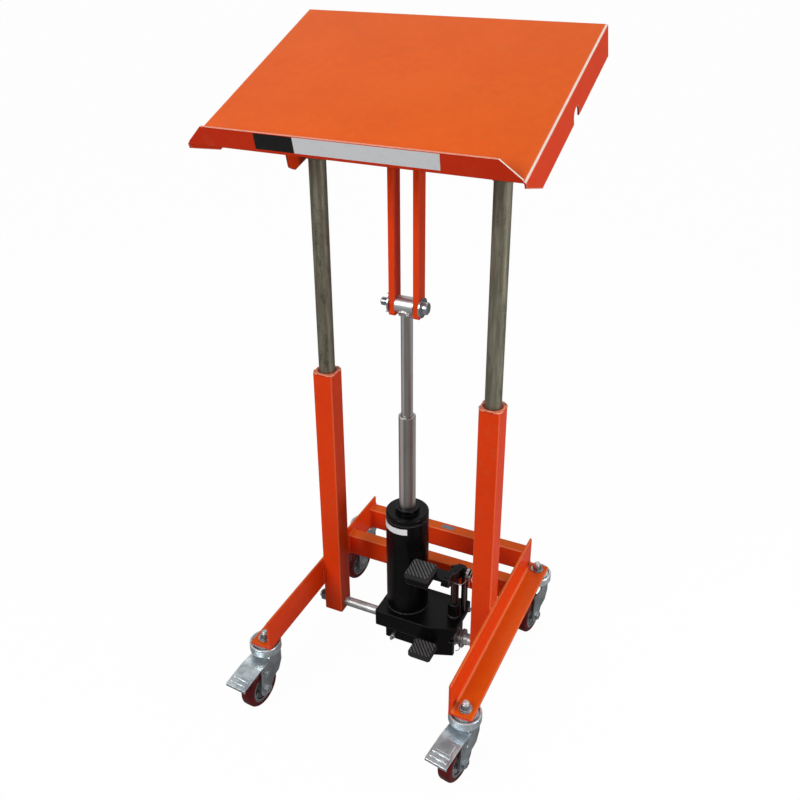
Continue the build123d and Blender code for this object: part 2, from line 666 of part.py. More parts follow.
def slab_underside():
    """Wedge cut away under the slab's right end."""
    edge = BASE_TOP - BASE_EDGE
    foot = BASE_TOP - BASE_SLAB
    past = BASE_RIGHT + 1
    profile = Polyline((past, 0, edge), (BASE_RIGHT, 0, edge), (BLOCK_RIGHT, 0, foot), (past, 0, foot), close=True)
    return extrude(make_face(profile), BASE_BACK - BASE_FRONT, dir=(0, 1, 0), both=True)


def valve_bore():
    """Blind bore behind the release pedal."""
    place = Pos(RELEASE_HINGE_X, BLOCK_FRONT + VALVE_BORE_DEPTH / 2, VALVE_PIN_Z) * Rot(90, 0, 0)
    return place * Cylinder(VALVE_PIN / 2 + RUN_FIT, VALVE_BORE_DEPTH)


def oil_reservoir():
    """Round oil tank with the ram's bore down its middle."""
    tank = upright(RESERVOIR_DIAMETER, BASE_TOP, RESERVOIR_TOP)
    return tank - upright(CYLINDER_BORE, BASE_TOP - 1, RESERVOIR_TOP + 1)


def reservoir_cap():
    """Screwed head of the tank, rounded on top and grooved at its foot."""
    cap = upright(RESERVOIR_DIAMETER, RESERVOIR_TOP, CAP_TOP)
    cap = fillet(cap.edges().group_by(Axis.Z)[-1], CAP_ROUND)
    groove_top = RESERVOIR_TOP + CAP_GROOVE_WIDTH
    groove = upright(RESERVOIR_DIAMETER + 2, RESERVOIR_TOP - 1, groove_top)
    groove -= upright(RESERVOIR_DIAMETER - 2 * CAP_GROOVE, RESERVOIR_TOP - 1, groove_top)
    return cap - groove - upright(CYLINDER_BORE, RESERVOIR_TOP - 1, CAP_TOP + 1)


def gland_nut():
    """Round gland that seals the first ram stage, with four spanner slots."""
    gland = upright(GLAND_DIAMETER, CAP_TOP, GLAND_TOP)
    gland = chamfer(gland.edges().group_by(Axis.Z)[-1], 1.5)
    gland -= upright(STAGE_DIAMETER + 2 * RUN_FIT, CAP_TOP - 1, GLAND_TOP + 1)
    for turn in (45, 135, 225, 315):
        slot = block((GLAND_DIAMETER / 2 - 3, GLAND_DIAMETER / 2 + 3), (-3, 3), (GLAND_TOP - 4, GLAND_TOP + 1))
        gland -= Rot(0, 0, turn) * slot
    return gland


def plunger_housing():
    """Round pump barrel screwed into the base, with a collar at its foot."""
    barrel = upright(HOUSING_DIAMETER, BASE_TOP, HOUSING_TOP, PLUNGER_X)
    barrel = chamfer(barrel.edges().group_by(Axis.Z)[-1], 1.5)
    collar = upright(HOUSING_FOOT, BASE_TOP, BASE_TOP + HOUSING_FOOT_HEIGHT, PLUNGER_X)
    collar = chamfer(collar.edges().group_by(Axis.Z)[-1], 1.5)
    return barrel + collar - upright(PLUNGER_DIAMETER + 2 * RUN_FIT, BASE_TOP - 1, HOUSING_TOP + 1, PLUNGER_X)


def pump_fittings():
    """Relief valve cap on the slab's right edge and bleed nipple low on the block's front."""
    level = BASE_TOP - BASE_EDGE / 2
    cap = hexagon_across(RELIEF_CAP, BASE_RIGHT, BASE_RIGHT + 5, RELIEF_CAP_Y, level)
    cap += across(RELIEF_CAP / 2, BASE_RIGHT + 5, BASE_RIGHT + 8, RELIEF_CAP_Y, level)
    nipple = Pos(-14, BLOCK_FRONT, BASE_BOTTOM + 7) * Rot(90, 0, 0)
    stem = nipple * Pos(0, 0, 6) * Cylinder(3.5, 12)
    collar = nipple * extrude(RegularPolygon(6.0, 6), 5)
    return [cap, stem + collar]


def lever_lug(side):
    """Flat lug from the base up to the lever's pivot."""
    foot = Pos(LEVER_PIVOT_Y, BASE_TOP + 3) * Rectangle(LUG_FOOT, 6)
    eye = Pos(LEVER_PIVOT_Y, LEVER_PIVOT_Z) * Circle(LUG_RADIUS)
    outline = make_hull([*foot.edges(), *eye.edges()])
    if side > 0:
        lug = side_sheet(outline, PLUNGER_X + LUG_INNER, PLUNGER_X + LUG_OUTER)
    else:
        lug = side_sheet(outline, PLUNGER_X - LUG_OUTER, PLUNGER_X - LUG_INNER)
    return lug - lever_bore(LEVER_PIN)


def lever_bore(diameter):
    """Cylinder along the lever's pivot."""
    return across(
        diameter, PLUNGER_X - LUG_BORE_REACH, PLUNGER_X + LUG_BORE_REACH, LEVER_PIVOT_Y, LEVER_PIVOT_Z
    )


def lever_pivot_pin():
    """Pin through the lugs and the lever, long enough on the right for the spring."""
    left = PLUNGER_X - LUG_OUTER - 3
    right = PLUNGER_X + LUG_OUTER + SPRING_TURNS * SPRING_WIRE + 4
    pin = across(LEVER_PIN, left, right, LEVER_PIVOT_Y, LEVER_PIVOT_Z)
    head = across(LEVER_PIN + 6, left - 4, left, LEVER_PIVOT_Y, LEVER_PIVOT_Z)
    return pin + head


def spring_coil():
    """Close-wound coil of the return spring round the pivot pin, its lower end on the base."""
    left = PLUNGER_X + LUG_OUTER + SPRING_GAP
    right = left + SPRING_TURNS * SPRING_WIRE
    coil = washer_across(
        2 * SPRING_RADIUS + SPRING_WIRE, 2 * SPRING_RADIUS - SPRING_WIRE, left, right,
        LEVER_PIVOT_Y, LEVER_PIVOT_Z,
    )
    tail_x = left + SPRING_WIRE
    tail = upright(SPRING_WIRE, BASE_TOP, LEVER_PIVOT_Z, tail_x, LEVER_PIVOT_Y - SPRING_RADIUS)
    return coil + tail


def lever_place():
    """Lever frame: origin on the pivot, first axis forward along the arm, second axis down."""
    return Plane(
        origin=(PLUNGER_X, LEVER_PIVOT_Y, LEVER_PIVOT_Z),
        x_dir=(0, -cos(radians(LEVER_RISE)), sin(radians(LEVER_RISE))),
        z_dir=(1, 0, 0),
    )


def pump_lever():
    """Foot lever: pivoted arm, cross bar to the left and the tray that carries the pad."""
    half = LEVER_WIDTH / 2
    arm_place = Pos((LEVER_REACH - LEVER_TAIL) / 2, LEVER_UNDER_PIVOT - LEVER_DEPTH / 2)
    arm_outline = arm_place * RectangleRounded(LEVER_REACH + LEVER_TAIL, LEVER_DEPTH, LEVER_CORNER)
    arm = extrude(lever_place().offset(-half) * arm_outline, LEVER_WIDTH)
    arm -= lever_bore(LEVER_PIN + 2 * RUN_FIT)
    tray_top = PAD_TOP - PAD_WALL
    tray_x = (PAD_CENTRE_X - PAD_WIDTH / 2 + 2, PAD_CENTRE_X + PAD_WIDTH / 2 - 2)
    tray_y = (PAD_CENTRE_Y - PAD_DEPTH / 2 + 2, PAD_CENTRE_Y + PAD_DEPTH / 2 - 2)
    tray = block(tray_x, tray_y, (tray_top - TRAY_HEIGHT, tray_top))
    tray = fillet(tray.edges().filter_by(Axis.Z), 4.0)
    inside = block(
        (tray_x[0] + TRAY_WALL, tray_x[1] - TRAY_WALL),
        (tray_y[0] + TRAY_WALL, tray_y[1] - TRAY_WALL),
        (tray_top - TRAY_HEIGHT - 1, tray_top - TRAY_WALL),
    )
    bar_front = LEVER_PIVOT_Y - LEVER_REACH * cos(radians(LEVER_RISE)) + 1
    bar_bottom = tray_top - TRAY_HEIGHT
    bar = block(
        (tray_x[0] + TRAY_WALL, PLUNGER_X + half),
        (bar_front, bar_front + CROSS_BAR_DEPTH),
        (bar_bottom, bar_bottom + CROSS_BAR_HEIGHT),
    )
    bar = fillet(bar.edges().filter_by(Axis.X), 2.0)
    return (tray - inside) + bar + arm


def ribbed_pad(centre_x, centre_y, width, depth, wall, top):
    """Rubber pad with diagonal ribs on its tread."""
    body = Pos(centre_x, centre_y, top - wall) * extrude(RectangleRounded(width, depth, 4.0), wall - PAD_RIB)
    tread = Pos(centre_x, centre_y, top - PAD_RIB) * extrude(
        RectangleRounded(width - 4, depth - 4, 3.0), PAD_RIB
    )
    count = int((width + depth) / sqrt(2) / PAD_RIB_PITCH / 2)
    ribs = [
        Pos(centre_x, centre_y, top - PAD_RIB / 2)
        * Rot(0, 0, 40)
        * Pos(step * PAD_RIB_PITCH, 0, 0)
        * Box(PAD_RIB_PITCH / 2, 2 * (width + depth), PAD_RIB)
        for step in range(-count, count + 1)
    ]
    for rib in ribs:
        body += rib & tread
    return body


def pump_plunger():
    """Plunger with a domed head under the lever."""
    head_radius = PLUNGER_DIAMETER / 2
    rise = radians(LEVER_RISE)
    reach = LEVER_UNDER_PIVOT + head_radius + SIDE_PLAY
    centre_z = LEVER_PIVOT_Z + (LEVER_PIVOT_Y * sin(rise) - reach) / cos(rise)
    rod = upright(PLUNGER_DIAMETER, PLUNGER_BOTTOM, centre_z, PLUNGER_X)
    return rod + Pos(PLUNGER_X, 0, centre_z) * Sphere(head_radius)


def spring_arm():
    """Upper leg of the return spring, hooked under the lever's arm."""
    rise = radians(LEVER_RISE)
    forward = Vector(0, -cos(rise), sin(rise))
    below = Vector(0, -sin(rise), -cos(rise))
    pivot = Vector(0, LEVER_PIVOT_Y, LEVER_PIVOT_Z)
    leg_x = PLUNGER_X + LUG_OUTER + SPRING_GAP + (SPRING_TURNS - 0.5) * SPRING_WIRE
    drop = LEVER_UNDER_PIVOT + SPRING_WIRE / 2
    start = pivot + forward * (SPRING_RADIUS - 1) + below * drop + Vector(leg_x, 0, 0)
    bend = pivot + forward * SPRING_LEG + below * drop
    corner = bend + Vector(leg_x, 0, 0)
    end = bend + Vector(PLUNGER_X - SPRING_HOOK, 0, 0)
    path = FilletPolyline(start, corner, end, radius=SPRING_BEND)
    section = Plane(origin=start, z_dir=forward) * Circle(SPRING_WIRE / 2)
    return sweep(section, path=path)


def release_lugs():
    """Two lugs on the block's front that carry the release pedal, with their pin."""
    pieces = []
    inner = RELEASE_LUG_SPREAD / 2
    outer = inner + RELEASE_LUG_WALL
    eye = Pos(RELEASE_PIN_Y, RELEASE_PIN_Z) * Circle(RELEASE_PIN / 2 + RELEASE_LUG_WALL)
    root = Pos(BLOCK_FRONT - 1, RELEASE_PIN_Z) * Rectangle(2, RELEASE_LUG_ROOT)
    outline = make_hull([*eye.edges(), *root.edges()])
    for left in (-outer, inner):
        lug = side_sheet(outline, RELEASE_HINGE_X + left, RELEASE_HINGE_X + left + RELEASE_LUG_WALL)
        pieces.append(lug - release_axis(RELEASE_PIN, outer + 1))
    pieces.append(release_axis(RELEASE_PIN, outer + 2))
    return pieces


def release_axis(diameter, reach):
    """Cylinder along the release pedal's hinge."""
    left = RELEASE_HINGE_X - reach
    return across(diameter, left, left + 2 * reach, RELEASE_PIN_Y, RELEASE_PIN_Z)


def release_pedal():
    """Bent plate: flat seat under the pad, barrel on the pin and a short tail to the valve."""
    half = RELEASE_LUG_SPREAD / 2 - SIDE_PLAY
    pad_bottom = RELEASE_TOP - PAD_WALL
    plate_z = (pad_bottom - RELEASE_ARM_WALL, pad_bottom)
    seat_x = RELEASE_WIDTH / 2 - PAD_OVERHANG
    seat_y = RELEASE_DEPTH / 2 - PAD_OVERHANG
    seat = block((RELEASE_X - seat_x, RELEASE_X + seat_x), (RELEASE_Y - seat_y, RELEASE_Y + seat_y), plate_z)
    seat = fillet(seat.edges().filter_by(Axis.Z), 3.0)
    arm = block((RELEASE_HINGE_X - half, RELEASE_HINGE_X + half), (RELEASE_Y, RELEASE_PIN_Y), plate_z)
    barrel = release_axis(RELEASE_PIN + 2 * RELEASE_LUG_WALL, half)
    tail = block(
        (RELEASE_HINGE_X - half + 4, RELEASE_HINGE_X + half - 4),
        (RELEASE_PIN_Y + RELEASE_TAIL_BACK - RELEASE_ARM_WALL, RELEASE_PIN_Y + RELEASE_TAIL_BACK),
        (VALVE_PIN_Z - VALVE_PIN / 2, RELEASE_PIN_Z),
    )
    return seat + arm + barrel + tail - release_axis(RELEASE_PIN + 2 * RUN_FIT, RELEASE_LUG_SPREAD)


def release_valve_pin():
    """Push pin of the release valve."""
    front = RELEASE_PIN_Y + RELEASE_TAIL_BACK + SIDE_PLAY
    place = Pos(RELEASE_HINGE_X, front + VALVE_PIN_LENGTH / 2, VALVE_PIN_Z) * Rot(90, 0, 0)
    return place * Cylinder(VALVE_PIN / 2, VALVE_PIN_LENGTH)


# ---------------------------------------------------------------- ram and carriage
def ram_stage():
    """First ram stage: a tube with a closed foot and a piston at its lower end."""
    stage = upright(STAGE_DIAMETER, STAGE_BOTTOM, STAGE_TOP)
    stage += upright(CYLINDER_BORE - 2 * SIDE_PLAY, STAGE_BOTTOM, STAGE_BOTTOM + PISTON_HEIGHT)
    stage -= upright(STAGE_BORE, STAGE_BOTTOM + STAGE_FLOOR, STAGE_TOP - PISTON_HEIGHT)
    stage -= upright(ROD_DIAMETER + 2 * RUN_FIT, STAGE_TOP - PISTON_HEIGHT - 1, STAGE_TOP + 1)
    return chamfer(stage.edges().group_by(Axis.Z)[-1], 1.0)


def crosshead_bore(diameter, reach):
    """Cylinder along the crosshead pin."""
    return across(diameter, -reach, reach, 0, CROSSHEAD_Z)


def ram_rod():
    """Second ram stage: a chromed rod coped to the crosshead sleeve."""
    rod = upright(ROD_DIAMETER, ROD_BOTTOM, CROSSHEAD_Z)
    rod += upright(STAGE_BORE - 2 * SIDE_PLAY, ROD_BOTTOM, ROD_BOTTOM + ROD_HEAD_HEIGHT)
    return rod - crosshead_bore(CROSSHEAD_SLEEVE, ROD_DIAMETER)


def crosshead_sleeve():
    """Sleeve on top of the rod, between the drop bars."""
    reach = BAR_INNER - SIDE_PLAY
    bore = CROSSHEAD_PIN + 2 * LOOSE_FIT
    return crosshead_bore(CROSSHEAD_SLEEVE, reach) - crosshead_bore(bore, reach + 1)


def crosshead_pin():
    """Headed pin with a large washer at each end and a split pin through its tail."""
    washer_end = BAR_OUTER + WASHER_WALL
    pin = across(CROSSHEAD_PIN, -CROSSHEAD_PIN_REACH, washer_end, 0, CROSSHEAD_Z)
    pin = chamfer(pin.edges().filter_by(GeomType.CIRCLE).sort_by(Axis.X)[0], 1.5)
    head = across(CROSSHEAD_HEAD, washer_end, washer_end + CROSSHEAD_HEAD_WIDTH, 0, CROSSHEAD_Z)
    head = fillet(head.edges().filter_by(GeomType.CIRCLE).sort_by(Axis.X)[-1], 3.0)
    bore = CROSSHEAD_PIN + 2 * LOOSE_FIT
    washer = washer_across(CROSSHEAD_WASHER, bore, BAR_OUTER, washer_end, 0, CROSSHEAD_Z)
    split_x = -washer_end - SPLIT_PIN
    split = upright(
        SPLIT_PIN, CROSSHEAD_Z - SPLIT_PIN_LENGTH / 2, CROSSHEAD_Z + SPLIT_PIN_LENGTH / 2, split_x
    )
    return [pin + head - split, washer, mirrored(washer), split]


def drop_bar_right():
    """Flat bar from the bridge down to the crosshead pin."""
    half = BAR_WIDTH / 2
    bar = block((BAR_INNER, BAR_OUTER), (-half, half), (BAR_BOTTOM, BRIDGE_BOTTOM))
    bar = chamfer(bar.edges().group_by(Axis.Z)[0].filter_by(Axis.X), BAR_CHAMFER)
    return bar - crosshead_bore(CROSSHEAD_PIN + 2 * LOOSE_FIT, BAR_OUTER + 1)


def lift_tube_right():
    """Lift tube with a guide shoe at its foot, inside the post."""
    tube = upright(TUBE_DIAMETER, TUBE_BOTTOM, BRIDGE_BOTTOM, MAST_X)
    shoe = POST_SIZE - 2 * POST_WALL - 2 * SIDE_PLAY
    tube += upright(shoe, TUBE_BOTTOM, TUBE_BOTTOM + SHOE_HEIGHT, MAST_X)
    return tube - upright(TUBE_DIAMETER - 2 * TUBE_WALL, TUBE_BOTTOM - 1, BRIDGE_BOTTOM + 1, MAST_X)


def tube_collar_right():
    """Stop collar at the top of a lift tube."""
    collar = upright(COLLAR_DIAMETER, BRIDGE_BOTTOM - COLLAR_HEIGHT, BRIDGE_BOTTOM, MAST_X)
    collar = chamfer(collar.edges().group_by(Axis.Z)[0], 1.5)
    return collar - upright(TUBE_DIAMETER, BRIDGE_BOTTOM - COLLAR_HEIGHT - 1, BRIDGE_BOTTOM + 1, MAST_X)


def carriage_bridge():
    """Square box section across the top of the mast."""
    tube = square_tube(BRIDGE_SIZE, BRIDGE_SIZE, BRIDGE_WALL, BRIDGE_CORNER, 2 * BRIDGE_HALF)
    return Pos(-BRIDGE_HALF, 0, (BRIDGE_BOTTOM + BRIDGE_TOP) / 2) * Rot(0, 90, 0) * tube


def end_plate_edges():
    """Edges that both end plates wrap: the bridge's end and the pivot's eye."""
    size = BRIDGE_SIZE + 2 * END_PLATE_MARGIN
    bridge_end = Pos(0, (BRIDGE_BOTTOM + BRIDGE_TOP) / 2) * Rectangle(size, size)
    eye = Pos(0, PIVOT_Z) * Circle(END_PLATE_RADIUS)
    return [*bridge_end.edges(), *eye.edges()]


def end_plate_right():
    """Plate on the bridge's right end with the pivot hole."""
    plate = side_sheet(make_hull(end_plate_edges()), BRIDGE_HALF, PLATE_OUTER)
    return plate - across(PIVOT_BOLT + 2 * RUN_FIT, BRIDGE_HALF - 1, PLATE_OUTER + 1, 0, PIVOT_Z)


def end_plate_left():
    """Plate on the bridge's left end, reaching down to the clamp stud."""
    eye = Pos(STUD_Y, STUD_Z) * Circle(CLAMP_STUD)
    plate = side_sheet(make_hull([*end_plate_edges(), *eye.edges()]), -PLATE_OUTER, -BRIDGE_HALF)
    plate -= across(PIVOT_BOLT + 2 * RUN_FIT, -PLATE_OUTER - 1, -BRIDGE_HALF + 1, 0, PIVOT_Z)
    return plate - across(CLAMP_STUD, -PLATE_OUTER - 1, -BRIDGE_HALF + 1, STUD_Y, STUD_Z)


def clamp_stud():
    """Stud welded in the left end plate, through the sector's slot, with its washer."""
    washer_right = -SECTOR_OUTER - SIDE_PLAY
    stud_left = washer_right - WASHER_WALL - CLAMP_HUB_WIDTH - 4
    stud = across(CLAMP_STUD, stud_left, -BRIDGE_HALF, STUD_Y, STUD_Z)
    washer = washer_across(
        CLAMP_HUB, CLAMP_STUD, washer_right - WASHER_WALL, washer_right, STUD_Y, STUD_Z
    )
    return stud + washer


def clamp_lever():
    """Clamp hub on the stud with a round handle pointing to the back."""
    right = -SECTOR_OUTER - SIDE_PLAY - WASHER_WALL - SIDE_PLAY
    left = right - CLAMP_HUB_WIDTH
    hub = across(CLAMP_HUB, left, right, STUD_Y, STUD_Z)
    middle = (left + right) / 2
    start = CLAMP_HUB / 2 - 2
    handle = Pos(middle, STUD_Y, STUD_Z) * Rot(-CLAMP_HANDLE_ANGLE, 0, 0) * Pos(0, 0, (start + CLAMP_REACH) / 2)
    lever = hub + handle * Cylinder(CLAMP_HANDLE / 2, CLAMP_REACH - start)
    knob = Pos(middle, STUD_Y, STUD_Z) * Rot(-CLAMP_HANDLE_ANGLE, 0, 0) * Pos(0, 0, CLAMP_REACH) * Sphere(CLAMP_KNOB / 2)
    return lever + knob - across(CLAMP_STUD + 2 * RUN_FIT, left - 1, right + 1, STUD_Y, STUD_Z)


# ---------------------------------------------------------------- tilting table
def tilted(shape):
    """Move a piece drawn level, with the pivot as its origin, to its stored tilt."""
    return Pos(0, 0, PIVOT_Z) * Rot(TILT, 0, 0) * shape


def table_top():
    """Folded sheet top: raised lip in front, skirts at the sides, turned-down back edge."""
    half_width = TABLE_WIDTH / 2
    half_depth = TABLE_DEPTH / 2
    top = TABLE_ABOVE_PIVOT
    bottom = top - SKIRT_DEPTH
    wall = TABLE_WALL
    shell = block((-half_width, half_width), (-half_depth, half_depth), (bottom, top))
    folds = [
        edge
        for edge in shell.edges().group_by(Axis.Z)[-1]
        if edge.center().Y > half_depth - 1 or abs(edge.center().X) > half_width - 1
    ]
    shell = fillet(folds, TABLE_BEND)
    hollow = block(
        (-half_width + wall, half_width - wall), (-half_depth - 1, half_depth - wall), (bottom - 1, top - wall)
    )
    inner_folds = [
        edge
        for edge in hollow.edges().group_by(Axis.Z)[-1]
        if edge.center().Y > half_depth - wall - 1 or abs(edge.center().X) > half_width - wall - 1
    ]
    shell -= fillet(inner_folds, TABLE_BEND - wall)
    shell -= skirt_cuts()
    lip_outline = [
        (-half_width + CORNER_RELIEF, top - wall),
        (half_width - CORNER_RELIEF, top - wall),
        (half_width - CORNER_RELIEF, top + 2),
        (half_width - LIP_END_CUT, top + LIP_HEIGHT),
        (-half_width + LIP_END_CUT, top + LIP_HEIGHT),
        (-half_width + CORNER_RELIEF, top + 2),
    ]
    lip_plane = Plane(origin=(0, -half_depth, 0), x_dir=(1, 0, 0), z_dir=(0, -1, 0))
    lip = extrude(lip_plane * make_face(Polyline(*lip_outline, close=True)), -wall)
    return tilted(shell + lip)


def skirt_cuts():
    """What is cut from both skirts: the slanted front end and the rounded notch."""
    half_depth = TABLE_DEPTH / 2
    top = TABLE_ABOVE_PIVOT
    bottom = top - SKIRT_DEPTH
    slant = [
        (-half_depth - 1, bottom - 1),
        (-half_depth + SKIRT_CUT_BACK, bottom - 1),
        (-half_depth + SKIRT_CUT_BACK, bottom),
        (-half_depth, top - SKIRT_FRONT_DEPTH),
        (-half_depth - 1, top - SKIRT_FRONT_DEPTH),
    ]
    reach = TABLE_WIDTH / 2 + 1
    cuts = side_sheet(make_face(Polyline(*slant, close=True)), -reach, reach)
    radius = NOTCH_WIDTH / 2
    notch_top = bottom + NOTCH_DEPTH - radius
    arch = make_face(
        [
            Line((NOTCH_Y - radius, bottom - 1), (NOTCH_Y - radius, notch_top)),
            ThreePointArc(
                (NOTCH_Y - radius, notch_top), (NOTCH_Y, notch_top + radius), (NOTCH_Y + radius, notch_top)
            ),
            Line((NOTCH_Y + radius, notch_top), (NOTCH_Y + radius, bottom - 1)),
            Line((NOTCH_Y + radius, bottom - 1), (NOTCH_Y - radius, bottom - 1)),
        ]
    )
    return cuts + side_sheet(arch, -reach, reach)


def arc_point(radius, angle):
    """Point on a circle round the pivot; the angle is measured forward from straight down."""
    return (-radius * sin(radians(angle)), -radius * cos(radians(angle)))


def sector_plate():
    """Tilt sector under the top's left side, with an arc slot round the pivot."""
    underside = TABLE_ABOVE_PIVOT - TABLE_WALL
    outline = [
        (-SECTOR_FRONT, underside),
        (-SECTOR_WAIST, -SECTOR_WAIST_DROP),
        (-SECTOR_NOSE, -SECTOR_NOSE_DROP),
        (-SECTOR_CHIN, -SECTOR_CHIN_DROP),
        (-SECTOR_FOOT, -SECTOR_FOOT_DROP),
        (SECTOR_FOOT, -SECTOR_FOOT_DROP),
        (SECTOR_HEEL, -SECTOR_HEEL_DROP),
        (SECTOR_BACK, underside),
    ]
    sheet = side_sheet(make_face(Polyline(*outline, close=True)), -SECTOR_OUTER, -SECTOR_INNER)
    corners = [edge for edge in sheet.edges().filter_by(Axis.X) if edge.center().Z < underside - 1]
    sheet = fillet(corners, SECTOR_CORNER)
    start = TILT - SECTOR_BACK_ANGLE - TILT_HALF_RANGE
    end = TILT - SECTOR_BACK_ANGLE + TILT_HALF_RANGE
    half = CLAMP_STUD / 2 + LOOSE_FIT
    inner = SECTOR_SLOT_RADIUS - half
    outer = SECTOR_SLOT_RADIUS + half
    middle = (start + end) / 2
    slot_edges = [
        ThreePointArc(arc_point(inner, start), arc_point(inner, middle), arc_point(inner, end)),
        ThreePointArc(arc_point(inner, end), slot_end(end, half), arc_point(outer, end)),
        ThreePointArc(arc_point(outer, end), arc_point(outer, middle), arc_point(outer, start)),
        ThreePointArc(arc_point(outer, start), slot_end(start, -half), arc_point(inner, start)),
    ]
    slot = side_sheet(make_face(slot_edges), -SECTOR_OUTER - 1, -SECTOR_INNER + 1)
    bore = across(PIVOT_BOLT, -SECTOR_OUTER - 1, -SECTOR_INNER + 1, 0, 0)
    return tilted(sheet - slot - bore)


def slot_end(angle, past):
    """Outermost point of the slot's round end; a negative length lies behind the slot."""
    y, z = arc_point(SECTOR_SLOT_RADIUS, angle)
    return (y - past * cos(radians(angle)), z + past * sin(radians(angle)))


def hinge_lug_right():
    """Hinge lug under the top's right side."""
    underside = TABLE_ABOVE_PIVOT - TABLE_WALL
    foot = Pos(0, underside - HINGE_LUG_SEAM / 2) * Rectangle(HINGE_LUG_FOOT, HINGE_LUG_SEAM)
    outline = make_hull([*foot.edges(), *Circle(END_PLATE_RADIUS).edges()])
    lug = side_sheet(outline, SECTOR_INNER, SECTOR_OUTER)
    return tilted(lug - across(PIVOT_BOLT, SECTOR_INNER - 1, SECTOR_OUTER + 1, 0, 0))


def pivot_bolt():
    """Right pivot bolt: head outside the lug, washer and nut inside the end plate."""
    nut_right = BRIDGE_HALF - SIDE_PLAY
    shank = across(PIVOT_BOLT, nut_right - PIVOT_HEAD_HEIGHT - 4, SECTOR_OUTER, 0, PIVOT_Z)
    head = hexagon_across(PIVOT_HEAD, SECTOR_OUTER, SECTOR_OUTER + PIVOT_HEAD_HEIGHT, 0, PIVOT_Z)
    nut = hexagon_across(PIVOT_HEAD, nut_right - PIVOT_HEAD_HEIGHT, nut_right, 0, PIVOT_Z)
    return shank + head + nut


# ---------------------------------------------------------------- assembly
def build_nodes():
    """Every sub-part by its node name; a list is a group of separate solids."""
    nodes = {
        "rail_right": rail_right(),
        "rail_left": mirrored(rail_right()),
        "cross_beam_front": cross_beam(FRONT_BEAM_Y),
        "cross_beam_rear": cross_beam(REAR_BEAM_Y),
        "post_right": post_right(),
        "post_left": mirrored(post_right()),
        "guide_bushes": [guide_bush(-MAST_X), guide_bush(MAST_X)],
        "mast_axle": mast_axle(),
        "axle_end_fasteners": axle_end_fasteners(),
        "axle_spacers": [axle_spacer_tube(), *axle_sleeve_stack()],
        "pump_base": pump_base(),
        "oil_reservoir": oil_reservoir(),
        "reservoir_cap": reservoir_cap(),
        "gland_nut": gland_nut(),
        "plunger_housing": plunger_housing(),
        "pump_fittings": pump_fittings(),
        "lever_lugs": [lever_lug(-1), lever_lug(1)],
        "lever_pivot_pin": lever_pivot_pin(),
        "spring_coil": spring_coil(),
        "pump_lever": pump_lever(),
        "pump_pedal_pad": ribbed_pad(PAD_CENTRE_X, PAD_CENTRE_Y, PAD_WIDTH, PAD_DEPTH, PAD_WALL, PAD_TOP),
        "spring_arm": spring_arm(),
        "pump_plunger": pump_plunger(),
        "release_lugs": release_lugs(),
        "release_pedal": release_pedal(),
        "release_pedal_pad": ribbed_pad(
            RELEASE_X, RELEASE_Y, RELEASE_WIDTH, RELEASE_DEPTH, PAD_WALL, RELEASE_TOP
        ),
        "release_valve_pin": release_valve_pin(),
        "ram_stage": ram_stage(),
        "ram_rod": ram_rod(),
        "crosshead_sleeve": crosshead_sleeve(),
        "crosshead_pin": crosshead_pin(),
        "drop_bar_right": drop_bar_right(),
        "drop_bar_left": mirrored(drop_bar_right()),
        "lift_tube_right": [lift_tube_right(), tube_collar_right()],
        "lift_tube_left": [mirrored(lift_tube_right()), mirrored(tube_collar_right())],
        "carriage_bridge": carriage_bridge(),
        "end_plate_right": end_plate_right(),
        "end_plate_left": end_plate_left(),
        "clamp_stud": clamp_stud(),
        "clamp_lever": clamp_lever(),
        "table_top": table_top(),
        "sector_plate": sector_plate(),
        "hinge_lug_right": hinge_lug_right(),
        "pivot_bolts": [pivot_bolt(), mirrored(pivot_bolt())],
        "castor_stems": [],
        "castor_stem_nuts": [],
    }
    for name, (side, end, yaw) in CASTORS.items():
        place = castor_place(side, end, yaw)
        nodes["castor_stems"].append(place * castor_stem())
        nodes["castor_stem_nuts"] += [place * piece for piece in castor_stem_nut()]
        nodes[f"castor_fork_{name}"] = [place * piece for piece in castor_fork(end == "front")]
        nodes[f"wheel_hub_{name}"] = place * wheel_hub()
        nodes[f"wheel_tyre_{name}"] = place * wheel_tyre()
        if end == "front":
            nodes[f"brake_pedal_{name}"] = place * brake_pedal()
    return nodes


def main():
    """Write one STEP file for each node."""
    os.makedirs("parts", exist_ok=True)
    for name, shape in build_nodes().items():
        solids = shape if isinstance(shape, list) else [shape]
        solids = [solid for piece in solids for solid in piece.solids()]
        whole = solids[0] if len(solids) == 1 else Compound(children=solids)
        export_step(whole, f"parts/{name}.step")


if __name__ == "__main__":
    main()
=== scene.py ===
"""Looks of a foot-pumped lift table with a tilting top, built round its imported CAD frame.

The CAD solids keep their shapes and get worn enamel, zinc, oiled steel, rubber and polyurethane.
Welds, threads, split pins, a wound spring, blank films and wheel details are added as meshes.
Every length is in metres, in the frame's own axes: X right, Y back, Z up, origin on the floor.
"""

from __future__ import annotations

import json
import logging
import math
import random
from dataclasses import dataclass
from enum import Enum
from typing import Any, Iterable, Optional, Sequence

import bmesh
import bpy
from mathutils import Matrix, Vector

